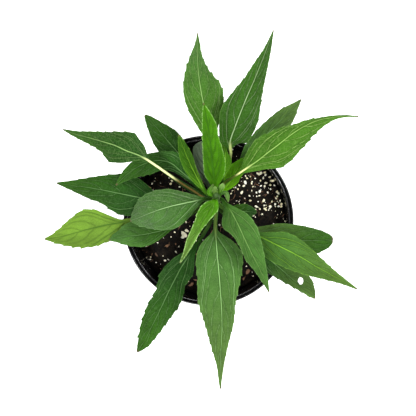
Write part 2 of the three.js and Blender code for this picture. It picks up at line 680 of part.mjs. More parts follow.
function crumb(u, v, size, turn) {
  const spot = new THREE.Vector2(...place(u, v, SOIL_LEVEL));
  const { x, y } = spot.clampLength(0, 69);
  const shape = new THREE.IcosahedronGeometry(1, 0);
  shape.scale(...size);
  shape.rotateZ(turn * 2.4);
  shape.translate(x, y, soilHeight(x, y) - 0.1 * size[2]);
  return shape;
}

function leafGeometry(shape) {
  const leaf = new Leaf(shape).geometry();
  if (!shape.hole) return leaf;
  const { u, v, across, along } = shape.hole;
  const [x, y, z] = place(u, v, 172);
  const bite = new THREE.CylinderGeometry(0.5, 0.5, 40, 9);
  bite.rotateX(Math.PI / 2);
  bite.scale(across, along, 1);
  bite.translate(x, y, z);
  return toGeometry(toManifold(leaf).subtract(toManifold(bite)));
}

function meshFrom(name, geometry, colour, roughness) {
  const material = new THREE.MeshStandardMaterial({ color: colour, roughness, metalness: 0 });
  const mesh = new THREE.Mesh(geometry, material);
  mesh.name = name;
  return mesh;
}

const part = new THREE.Group();
part.add(meshFrom('pot', potGeometry(), 0x1b1b1c, 0.45));
part.add(meshFrom('soil', soilGeometry(), 0x2a1f18, 0.95));
part.add(meshFrom('stem', stemGeometry(0, 226), 0x7c8a45, 0.6));
for (const [name, shape] of Object.entries(LEAVES)) {
  part.add(meshFrom(name, leafGeometry(shape), shape.colour, 0.55));
}

export default part;
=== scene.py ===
"""Looks of a young coneflower in its nursery pot, in metres, +Z up, the pot's foot on z = 0.

The camera looks straight down: image right is +X and image up is +Y. Sizes inside the classes
are in millimetres, and every mesh is brought to metres when its vertices are laid.
"""

import logging
import math
import random
from contextlib import contextmanager
from dataclasses import dataclass, field, replace
from enum import Enum
from typing import Iterator, Sequence

import bpy
import numpy as np
from mathutils import Matrix, Vector, noise


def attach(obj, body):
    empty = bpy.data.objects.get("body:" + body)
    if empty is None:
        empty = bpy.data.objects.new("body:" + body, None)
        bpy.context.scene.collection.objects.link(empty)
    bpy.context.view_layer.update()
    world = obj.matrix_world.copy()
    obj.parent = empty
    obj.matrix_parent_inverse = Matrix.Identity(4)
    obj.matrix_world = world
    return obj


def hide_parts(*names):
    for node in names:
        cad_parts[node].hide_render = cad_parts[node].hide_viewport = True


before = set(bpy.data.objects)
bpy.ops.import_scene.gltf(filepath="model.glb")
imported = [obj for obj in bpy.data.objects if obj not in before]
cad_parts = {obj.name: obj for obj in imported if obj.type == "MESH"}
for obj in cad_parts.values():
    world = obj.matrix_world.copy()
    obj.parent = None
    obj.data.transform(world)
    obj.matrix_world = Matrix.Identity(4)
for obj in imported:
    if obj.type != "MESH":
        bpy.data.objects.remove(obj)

log = logging.getLogger("coneflower")

MM = 0.001
WELD = 1e-6
SOFT_EDGE = 50.0
Colour = tuple[float, float, float]
Model = tuple[np.ndarray, list]
Piece = bpy.types.Object
Socket = bpy.types.NodeSocket


class Slot(Enum):
    """Finish slots of the record, one for each kind of new piece."""

    POT = "pot_plastic"
    PEAT = "peat"
    STEM = "stem_green"
    LIGHT = "leaf_light"
    BRIGHT = "leaf_bright"
    MIDDLE = "leaf_middle"
    DARK = "leaf_dark"
    SATIN = "leaf_satin"
    GREY = "leaf_grey"
    PALE = "leaf_pale"


class Face(Enum):
    """The two faces of a leaf."""

    UPPER = "upper"
    UNDER = "under"


def paint(red: int, green: int, blue: int) -> Colour:
    """Linear colour of a display colour given as 0 to 255."""
    shares = (red / 255, green / 255, blue / 255)
    return tuple(s / 12.92 if s <= 0.04045 else ((s + 0.055) / 1.055) ** 2.4 for s in shares)


def smooth(low: float, high: float, x: np.ndarray | float) -> np.ndarray:
    """Smooth step from 0 at low to 1 at high."""
    t = np.clip((x - low) / (high - low), 0, 1)
    return t * t * (3 - 2 * t)


class Bench:
    """Common hand steps on Blender objects."""

    @staticmethod
    def clear_selection() -> None:
        """Leaves nothing selected."""
        bpy.ops.object.select_all(action="DESELECT")

    @staticmethod
    def take(piece: Piece) -> None:
        """Selects one object and makes it active."""
        Bench.clear_selection()
        piece.select_set(True)
        bpy.context.view_layer.objects.active = piece

    @staticmethod
    @contextmanager
    def editing(piece: Piece, mode: str) -> Iterator[None]:
        """Edit mode on one object for the time of a with block.

        Args:
            piece: the object to edit.
            mode: EDGE or FACE.
        """
        Bench.take(piece)
        bpy.ops.object.mode_set(mode="EDIT")
        bpy.ops.mesh.select_mode(type=mode)
        yield
        bpy.ops.object.mode_set(mode="OBJECT")

    @staticmethod
    def disc(sides: int, radius: float, z: float) -> Piece:
        """Adds a filled circle round the Z axis.

        Args:
            sides: how many corners it has.
            radius: its radius in mm.
            z: its height in mm.

        Returns:
            The circle, the one object that is selected.
        """
        Bench.clear_selection()
        bpy.ops.mesh.primitive_circle_add(
            vertices=sides, radius=radius * MM, fill_type="NGON", location=(0, 0, z * MM))
        return bpy.context.active_object

    @staticmethod
    def draw_up(rings: Sequence[tuple[float, float]]) -> None:
        """In edit mode, draws all edges through rings round the Z axis.

        Args:
            rings: radius and height of each in mm; the edges already lie at the first.
        """
        bpy.ops.mesh.select_all(action="SELECT")
        for (before, low), (after, high) in zip(rings, rings[1:]):
            bpy.ops.mesh.extrude_edges_move(
                TRANSFORM_OT_translate={"value": (0, 0, (high - low) * MM)})
            if after != before:
                size = after / before
                bpy.ops.transform.resize(value=(size, size, 1), center_override=(0, 0, 0))

    @staticmethod
    def face_outwards() -> None:
        """In edit mode, selects everything and turns every face outwards."""
        bpy.ops.mesh.select_all(action="SELECT")
        bpy.ops.mesh.normals_make_consistent(inside=False)

    @staticmethod
    def fix_place(piece: Piece) -> None:
        """Brings the object's place, turn and size into its mesh."""
        Bench.take(piece)
        bpy.ops.object.transform_apply(location=True, rotation=True, scale=True)

    @staticmethod
    def soften(piece: Piece, degrees: float = SOFT_EDGE) -> None:
        """Shades the object smoothly, apart from edges sharper than an angle."""
        Bench.take(piece)
        bpy.ops.object.shade_smooth_by_angle(angle=math.radians(degrees))

    @staticmethod
    def take_apart(piece: Piece) -> Model:
        """Reads a small object's points and faces, for copies, and removes the object."""
        model = Bench.points(piece), [list(p.vertices) for p in piece.data.polygons]
        bpy.data.objects.remove(piece)
        return model

    @staticmethod
    def apply(piece: Piece, kind: str, **settings: object) -> None:
        """Adds one modifier with its settings and applies it.

        Args:
            piece: the object.
            kind: the modifier's type name.
            settings: values for the modifier.
        """
        Bench.take(piece)
        modifier = piece.modifiers.new(kind.lower(), kind)
        for name, value in settings.items():
            setattr(modifier, name, value)
        bpy.ops.object.modifier_apply(modifier=modifier.name)

    @staticmethod
    def points(piece: Piece) -> np.ndarray:
        """The object's vertices as rows of x, y, z in metres."""
        co = np.empty(len(piece.data.vertices) * 3)
        piece.data.vertices.foreach_get("co", co)
        return co.reshape(-1, 3)

    @staticmethod
    def lay(piece: Piece, points: np.ndarray) -> None:
        """Moves the object's vertices to rows of x, y, z in metres."""
        piece.data.vertices.foreach_set("co", np.ascontiguousarray(points, float).ravel())
        piece.data.update()

    @staticmethod
    def select(piece: Piece, chosen: np.ndarray) -> None:
        """Marks vertices, and the edges and faces between them, as selected.

        Args:
            piece: the object, in object mode.
            chosen: one truth value for each vertex.
        """
        mesh = piece.data
        mesh.vertices.foreach_set("select", chosen)
        ends = np.empty(len(mesh.edges) * 2, int)
        mesh.edges.foreach_get("vertices", ends)
        mesh.edges.foreach_set("select", chosen[ends.reshape(-1, 2)].all(axis=1))
        for polygon in mesh.polygons:
            polygon.select = bool(chosen[list(polygon.vertices)].all())

    @staticmethod
    def attribute(piece: Piece, name: str, values: np.ndarray) -> None:
        """Writes one number for each vertex, under a name."""
        made = piece.data.attributes.new(name, "FLOAT", "POINT")
        made.data.foreach_set("value", np.ascontiguousarray(values, np.float32).ravel())

    @staticmethod
    def settle(piece: Piece, name: str, slot: Slot, *nodes: str) -> Piece:
        """Names a finished piece, sets it on the frame and says which nodes it stands for.

        Args:
            piece: the object.
            name: the piece's name.
            slot: the record's finish slot; not used.
            nodes: the CAD nodes that it replaces.

        Returns:
            The same object.
        """
        piece.name = name
        piece.data.name = name
        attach(piece, "root")
        if nodes:
            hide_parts(*nodes)
        log.info("%s: %d faces", name, len(piece.data.polygons))
        return piece


class Shade:
    """One material's nodes, with short calls for those that the finishes use."""

    def __init__(self, name: str) -> None:
        """Starts a material with a principled shader.

        Args:
            name: the material's name.
        """
        self.material = bpy.data.materials.new(name)
        self.material.use_nodes = True
        self.tree = self.material.node_tree
        self.tree.nodes.clear()
        self.shader = self.tree.nodes.new("ShaderNodeBsdfPrincipled")
        output = self.tree.nodes.new("ShaderNodeOutputMaterial")
        self.tree.links.new(self.shader.outputs[0], output.inputs[0])

    def put(self, socket: Socket, value: object) -> None:
        """Links a socket or sets its value.

        Args:
            socket: the socket to feed.
            value: another socket, a colour or a number.
        """
        if isinstance(value, Socket):
            self.tree.links.new(value, socket)
        elif isinstance(value, tuple) and len(value) == 3 and socket.type == "RGBA":
            socket.default_value = (*value, 1.0)
        else:
            socket.default_value = value

    def set(self, **values: object) -> None:
        """Sets or links sockets of the shader, with _ for a space in their names."""
        for name, value in values.items():
            self.put(self.shader.inputs[name.replace("_", " ")], value)

    def attribute(self, name: str) -> Socket:
        """A number that the mesh carries."""
        node = self.tree.nodes.new("ShaderNodeAttribute")
        node.attribute_name = name
        return node.outputs["Fac"]

    def place(self, scale: Colour = (1.0, 1.0, 1.0)) -> Socket:
        """Object coordinates.

        Args:
            scale: how they are stretched along each axis.

        Returns:
            The coordinates' socket.
        """
        source = self.tree.nodes.new("ShaderNodeTexCoord")
        node = self.tree.nodes.new("ShaderNodeMapping")
        self.put(node.inputs["Vector"], source.outputs["Object"])
        node.inputs["Scale"].default_value = scale
        return node.outputs[0]

    def sheet(self, name: str) -> Socket:
        """Coordinates of a UV map."""
        source = self.tree.nodes.new("ShaderNodeUVMap")
        source.uv_map = name
        return source.outputs[0]

    def math(self, kind: str, a: object, b: object = None, c: object = None) -> Socket:
        """One arithmetic step.

        Args:
            kind: the operation's name.
            a: first socket or number.
            b: second socket or number, if it has one.
            c: third socket or number, if it has one.

        Returns:
            The result's socket.
        """
        node = self.tree.nodes.new("ShaderNodeMath")
        node.operation = kind
        for socket, value in zip(node.inputs, (a, b, c)):
            if value is not None:
                self.put(socket, value)
        return node.outputs[0]

    def times(self, a: object, b: object) -> Socket:
        """The product of two sockets, or of a socket and a number."""
        return self.math("MULTIPLY", a, b)

    def band(self, value: object, low: float, high: float) -> Socket:
        """0 at low to 1 at high, smoothly; low may be above high."""
        return self.range(value, low, high, (0.0, 1.0), "SMOOTHSTEP")

    def range(self, value: object, low: float, high: float, to: tuple[float, float],
              way: str = "LINEAR") -> Socket:
        """A value from low to high, brought to another range.

        Args:
            value: socket or number.
            low: value that gives the first of `to`.
            high: value that gives the second of `to`.
            to: the two results.
            way: LINEAR or SMOOTHSTEP.

        Returns:
            The result's socket.
        """
        node = self.tree.nodes.new("ShaderNodeMapRange")
        node.interpolation_type = way
        self.put(node.inputs["Value"], value)
        for name, bound in (("From Min", low), ("From Max", high), ("To Min", to[0]), ("To Max", to[1])):
            node.inputs[name].default_value = bound
        return node.outputs["Result"]

    def mix(self, factor: object, a: object, b: object) -> Socket:
        """A colour between two.

        Args:
            factor: share of the second colour.
            a: first colour.
            b: second colour.

        Returns:
            The colour's socket.
        """
        node = self.tree.nodes.new("ShaderNodeMix")
        node.data_type = "RGBA"
        self.put(node.inputs[0], factor)
        self.put(node.inputs[6], a)
        self.put(node.inputs[7], b)
        return node.outputs[2]

    def wash(self, under: object, over: object, mask: object, share: float) -> Socket:
        """Lays a share of one colour over another where a mask shows."""
        return self.mix(self.times(mask, share), under, over)

    def lit(self, colour: object, factor: object) -> Socket:
        """A colour made lighter or darker.

        Args:
            colour: socket or colour.
            factor: 1 leaves it as it is.

        Returns:
            The colour's socket.
        """
        node = self.tree.nodes.new("ShaderNodeVectorMath")
        node.operation = "SCALE"
        self.put(node.inputs[0], colour)
        self.put(node.inputs["Scale"], factor)
        return node.outputs[0]

    def cloud(self, vector: object, scale: float, detail: float = 3.0,
              rough: float = 0.5) -> Socket:
        """Soft noise between 0 and 1.

        Args:
            vector: coordinates.
            scale: patches for each unit of the coordinates.
            detail: how many finer layers it has.
            rough: how strong the finer layers are.

        Returns:
            The noise's socket.
        """
        node = self.tree.nodes.new("ShaderNodeTexNoise")
        self.put(node.inputs["Vector"], vector)
        node.inputs["Scale"].default_value = scale
        node.inputs["Detail"].default_value = detail
        node.inputs["Roughness"].default_value = rough
        return node.outputs[0]

    def cells(self, vector: object, scale: float, feature: str = "F1") -> Socket:
        """Cell pattern: distance to a cell's point, or to its edge.

        Args:
            vector: coordinates.
            scale: cells for each unit of the coordinates.
            feature: F1 or DISTANCE_TO_EDGE.

        Returns:
            The distance's socket.
        """
        node = self.tree.nodes.new("ShaderNodeTexVoronoi")
        node.feature = feature
        self.put(node.inputs["Vector"], vector)
        node.inputs["Scale"].default_value = scale
        return node.outputs["Distance"]

    def bump(self, height: object, depth_mm: float, strength: float) -> None:
        """Lets a height pattern raise the surface.

        Args:
            height: socket from 0 to 1.
            depth_mm: how far 1 stands above 0.
            strength: share of the effect.
        """
        node = self.tree.nodes.new("ShaderNodeBump")
        node.inputs["Distance"].default_value = depth_mm * MM
        node.inputs["Strength"].default_value = strength
        self.put(node.inputs["Height"], height)
        self.put(self.shader.inputs["Normal"], node.outputs[0])


@dataclass(frozen=True)
class PotPlastic:
    """Semi-gloss black moulded plastic with faint drag lines, scuffs and a little dust."""

    base: Colour = paint(13, 13, 14)
    worn: Colour = paint(40, 40, 41)
    dust: Colour = paint(96, 88, 76)
    roughness: float = 0.2

    def material(self) -> bpy.types.Material:
        """Builds the material.

        Returns:
            The material.
        """
        shade = Shade("pot_plastic_black")
        place = shade.place()
        streaks = shade.cloud(shade.place((1.0, 1.0, 0.08)), 420, 3)
        scuffs = shade.band(shade.cloud(shade.place((1.0, 1.0, 0.35)), 160, 6, 0.7), 0.62, 0.74)
        grain = shade.cloud(place, 2600, 2)
        dusty = shade.band(shade.cloud(place, 55, 5, 0.65), 0.56, 0.8)
        colour = shade.wash(self.base, self.worn, scuffs, 0.45)
        colour = shade.wash(colour, self.dust, dusty, 0.16)
        rough = shade.math("MULTIPLY_ADD", dusty, 0.22, self.roughness)
        rough = shade.math("MULTIPLY_ADD", scuffs, 0.14, rough)
        height = shade.math("MULTIPLY_ADD", grain, 0.25, shade.times(streaks, 0.75))
        shade.set(Base_Color=colour, Roughness=rough, Specular_IOR_Level=0.44)
        shade.bump(height, 0.02, 0.6)
        return shade.material


@dataclass(frozen=True)
class PeatMix:
    """Dark damp peat: black to warm brown, each crumb a little different."""

    wet: Colour = paint(4, 3, 2)
    brown: Colour = paint(31, 24, 16)
    warm: Colour = paint(92, 70, 46)
    roughness: float = 0.82

    def material(self, name: str = "peat_ground", crumbs: bool = False) -> bpy.types.Material:
        """Builds the material.

        Args:
            name: the material's name.
            crumbs: whether the mesh carries a tone for each crumb.

        Returns:
            The material.
        """
        shade = Shade(name)
        place = shade.place()
        coarse = shade.cloud(place, 170, 5, 0.7)
        fine = shade.cloud(place, 900, 4, 0.7)
        tone = shade.attribute("tone") if crumbs else shade.band(coarse, 0.42, 0.72)
        lumps = shade.cells(place, 700)
        colour = shade.wash(self.wet, self.brown, tone, 0.9)
        colour = shade.wash(colour, self.warm, shade.band(fine, 0.6, 0.75), 0.5)
        rough = shade.range(fine, 0.3, 0.7, (self.roughness - 0.18, self.roughness + 0.1))
        height = shade.math("MULTIPLY_ADD", lumps, 0.6, shade.times(fine, 0.8))
        shade.set(Base_Color=colour, Roughness=rough, Specular_IOR_Level=0.12)
        shade.bump(height, 0.6, 0.9)
        return shade.material


@dataclass(frozen=True)
class PerliteWhite:
    """Cream-white foamed mineral with a foamy grain and a dusting of peat."""

    pale: Colour = paint(252, 250, 236)
    cream: Colour = paint(240, 230, 182)
    stain: Colour = paint(150, 124, 80)

    def material(self) -> bpy.types.Material:
        """Builds the material.

        Returns:
            The material.
        """
        shade = Shade("perlite_cream")
        place = shade.place()
        tone = shade.attribute("tone")
        foam = shade.cells(place, 2600)
        stains = shade.band(shade.cloud(place, 620, 4, 0.65), 0.6, 0.75)
        colour = shade.wash(shade.mix(tone, self.pale, self.cream), self.stain, stains, 0.55)
        shade.set(Base_Color=colour, Roughness=shade.range(foam, 0, 0.6, (0.75, 0.95)))
        shade.bump(foam, 0.25, 0.7)
        return shade.material


@dataclass(frozen=True)
class BarkBrown:
    """Shredded bark and root fibre: grained lengthwise, from dark to tan."""

    dark: Colour = paint(44, 28, 19)
    tan: Colour = paint(140, 102, 70)

    def material(self) -> bpy.types.Material:
        """Builds the material.

        Returns:
            The material.
        """
        shade = Shade("bark_brown")
        place = shade.place()
        grain = shade.cloud(place, 1500, 4, 0.6)
        tone = shade.attribute("tone")
        share = shade.times(tone, shade.range(grain, 0.25, 0.75, (0.35, 1.0)))
        shade.set(Base_Color=shade.mix(share, self.dark, self.tan),
                  Roughness=shade.range(grain, 0.3, 0.7, (0.7, 0.92)))
        shade.bump(grain, 0.4, 0.8)
        return shade.material


@dataclass
class NurseryPot:
    """Round blow-moulded nursery pot with a double lip and drain holes at its foot, in mm.

    `outer_foot`, `lip` and `inner_corner` are pairs of radius and height. `wall_rings` and
    `inner_rings` are the heights of the rings on the sloping wall, outside and inside.
    """

    sides: int = 192
    outer_foot: tuple = ((64.0, 0.0), (64.6, 0.2), (65.0, 1.0))
    wall_foot: float = 65.0
    wall_slope: float = 12.6 / 150
    wall_thickness: float = 1.7
    wall_rings: tuple = (4, 12, 30, 60, 90, 120, 142, 149)
    lip: tuple = (
        (77.6, 150.0), (78.2, 150.5), (81.0, 151.9), (81.9, 152.5), (82.4, 153.4), (82.5, 154.5),
        (82.5, 162.6), (82.45, 163.6), (82.25, 164.4), (81.9, 164.9), (81.5, 165.0),
        (81.1, 164.8), (80.8, 164.2), (80.45, 163.2), (79.95, 162.4), (79.45, 163.1),
        (79.1, 163.9), (78.75, 164.5), (78.3, 164.7), (77.85, 164.5), (77.45, 164.0),
        (77.2, 163.2), (76.4, 154.5), (75.98, 151.0),
    )
    inner_rings: tuple = (140, 120, 80, 40, 12, 5)
    inner_corner: tuple = ((62.4, 3.2), (61.0, 3.0))
    drains: int = 8
    drain_sides: int = 40
    drain_radius: float = 6.5
    drain_circle: float = 60.5
    drain_height: float = 4.5
    drain_depth: float = 11.0
    plastic: PotPlastic = field(default_factory=PotPlastic)

    def outline(self) -> list[tuple[float, float]]:
        """Radius and height pairs from the foot round the lip to the floor."""
        wall = [(self.wall_foot + self.wall_slope * z, z) for z in self.wall_rings]
        inner_foot = self.wall_foot - self.wall_thickness
        inner = [(inner_foot + self.wall_slope * z, z) for z in self.inner_rings]
        return [*self.outer_foot, *wall, *self.lip, *inner, *self.inner_corner]

    def turn_shell(self) -> Piece:
        """Draws the shell up from a circle, ring by ring, and closes its floor.

        Returns:
            The shell.
        """
        rings = self.outline()
        shell = Bench.disc(self.sides, *rings[0])
        with Bench.editing(shell, "EDGE"):
            Bench.draw_up(rings)
            bpy.ops.mesh.edge_face_add()
            bpy.ops.mesh.select_all(action="SELECT")
            bpy.ops.mesh.remove_doubles(threshold=WELD)
            Bench.face_outwards()
        return shell

    def cut_drains(self, shell: Piece) -> None:
        """Cuts the drain holes through the floor's edge and the foot of the wall.

        Args:
            shell: the pot's shell.
        """
        Bench.clear_selection()
        cutters = []
        for i in range(self.drains):
            angle = 2 * math.pi * (i + 0.5) / self.drains
            bpy.ops.mesh.primitive_cylinder_add(
                vertices=self.drain_sides, radius=self.drain_radius * MM, depth=self.drain_depth * MM,
                location=(self.drain_circle * MM * math.cos(angle),
                          self.drain_circle * MM * math.sin(angle), self.drain_height * MM))
            cutters.append(bpy.context.active_object)
        for cutter in cutters:
            cutter.select_set(True)
        bpy.ops.object.join()
        cutter = bpy.context.active_object
        Bench.apply(shell, "BOOLEAN", operation="DIFFERENCE", solver="EXACT", object=cutter)
        bpy.data.objects.remove(cutter)

    def build(self) -> Piece:
        """Models and dresses the pot.

        Returns:
            The pot's piece.
        """
        shell = self.turn_shell()
        self.cut_drains(shell)
        Bench.soften(shell)
        shell.data.materials.append(self.plastic.material())
        return Bench.settle(shell, "pot_shell", Slot.POT, "pot")


@dataclass
class Ground:
    """The soil's surface as the frame has it, in mm.

    `edge` is the radius at which the soil meets the wall, and `high_side` the direction, in
    radians, in which it stands highest there.
    """

    level: float = 144.5
    wall_foot: float = 63.3
    wall_slope: float = 12.6 / 150
    edge: float = 75.5
    high_side: float = 0.6

    def wall(self, z: float) -> float:
        """Inner radius of the pot at a height."""
        return self.wall_foot + self.wall_slope * z

    def height(self, x: float, y: float) -> float:
        """Smooth height of the soil at a place.

        Args:
            x: place along X.
            y: place along Y.

        Returns:
            The height.
        """
        radius = np.hypot(x, y)
        angle = np.arctan2(y, x)
        mound = 3 * np.exp(-((x - 6) ** 2 + (y - 14) ** 2) / 900)
        lumps = 1.1 * np.sin(x / 8 + 1) * np.sin(y / 9) + 0.7 * np.sin(x / 4.3 - y / 5.1 + 2)
        sunk = 8 - 7 * np.cos(angle - self.high_side)
        return float(self.level + mound + x / 22 + lumps - sunk * smooth(58, 76, radius))

    def edge_height(self, angle: float) -> float:
        """Smooth height of the soil at the wall, in a direction."""
        return self.height(self.edge * math.cos(angle), self.edge * math.sin(angle))

    def rough_height(self, x: float, y: float) -> float:
        """Height of the soil at a place, with the crumbly relief of peat.

        Args:
            x: place along X.
            y: place along Y.

        Returns:
            The height.
        """
        big = noise.fractal(Vector((x / 7, y / 7, 3.1)), 0.9, 2.1, 4)
        small = noise.fractal(Vector((x / 1.9, y / 1.9, 8.7)), 0.8, 2.0, 2)
        inside = float(smooth(75, 66, math.hypot(x, y)))
        return self.height(x, y) + (1.1 * big + 0.45 * small) * (0.35 + 0.65 * inside)


@dataclass
class PottingSoil:
    """The peat's body: a disc drawn up along the wall and in to its middle, then roughened, in mm.

    `wall_rings` are the heights of its rings along the wall, and `level_top` that of the rings
    of its top before it is roughened. Below `footing` it stays as drawn. `edge_depth` is how far
    its last wall ring lies under the top.
    """

    ground: Ground
    sides: int = 240
    top_rings: int = 58
    wall_rings: tuple = (3.3, 30, 60, 90, 115, 132, 140)
    level_top: float = 142.0
    footing: float = 20.0
    edge_depth: float = 3.0
    slack: float = 0.5
    soft_edge: float = 60.0
    peat: PeatMix = field(default_factory=PeatMix)

    def wall(self, z: float) -> float:
        """Radius of the body at a height, just clear of the pot."""
        return self.ground.wall(z) - self.slack

    def draw_body(self) -> Piece:
        """Draws the plain body from a circle.

        Returns:
            The body, its top rings still level.
        """
        rings = [(self.wall(z), z) for z in self.wall_rings]
        outer = rings[-1][0]
        for i in range(self.top_rings):
            rings.append((outer * (1 - (i + 1) / (self.top_rings + 1)), self.level_top))
        body = Bench.disc(self.sides, *rings[0])
        with Bench.editing(body, "EDGE"):
            Bench.draw_up(rings)
            bpy.ops.mesh.merge(type="CENTER")
            Bench.face_outwards()
        Bench.fix_place(body)
        return body

    def crumble(self, body: Piece) -> None:
        """Raises the top to the soil's height and draws the edge in to meet the wall.

        Args:
            body: the plain body.
        """
        bottom, last = self.wall_rings[0], self.wall_rings[-1]
        outer = self.wall(last)
        points = Bench.points(body) / MM
        for point in points:
            x, y, z = point
            if z < self.footing:
                continue
            angle = math.atan2(y, x)
            edge = self.ground.edge_height(angle)
            if z > (last + self.level_top) / 2:
                radius = math.hypot(x, y)
                grown = radius * (1 + (self.wall(edge) / outer - 1) * (radius / outer) ** 6)
                x, y = grown * math.cos(angle), grown * math.sin(angle)
                point[:] = x, y, self.ground.rough_height(x, y)
            else:
                low = bottom + (z - bottom) * (edge - self.edge_depth - bottom) / (last - bottom)
                wall = self.wall(low)
                point[:] = wall * math.cos(angle), wall * math.sin(angle), low
        Bench.lay(body, points * MM)

    def build(self) -> Piece:
        """Models and dresses the soil.

        Returns:
            The soil's piece.
        """
        body = self.draw_body()
        self.crumble(body)
        Bench.soften(body, self.soft_edge)
        body.data.materials.append(self.peat.material())
        return Bench.settle(body, "peat_body", Slot.PEAT, "soil")


@dataclass
class Scatter:
    """Copies of a few small models, joined into one piece."""

    rng: random.Random
    points: list = field(default_factory=list)
    faces: list = field(default_factory=list)
    tones: list = field(default_factory=list)
    count: int = 0

    def add(self, model: Model, matrix: Matrix, tone: float) -> None:
        """Adds one copy.

        Args:
            model: points and faces of the small model.
            matrix: the copy's turn, size and place, in mm.
            tone: a number for its colour.
        """
        co, faces = model
        self.points.append(co @ np.array(matrix.to_3x3()).T + np.array(matrix.translation))
        self.faces += [[i + self.count for i in face] for face in faces]
        self.tones += [tone] * len(co)
        self.count += len(co)

    def join(self, name: str, slot: Slot, skin: bpy.types.Material) -> Piece:
        """Makes one finished piece of all copies.

        Args:
            name: the piece's name.
            slot: the record's finish slot.
            skin: its material.

        Returns:
            The piece.
        """
        mesh = bpy.data.meshes.new(name)
        mesh.from_pydata((np.concatenate(self.points) * MM).tolist(), [], self.faces)
        piece = bpy.data.objects.new(name, mesh)
        bpy.context.scene.collection.objects.link(piece)
        Bench.attribute(piece, "tone", np.array(self.tones))
        piece.data.materials.append(skin)
        return Bench.settle(piece, name, slot)


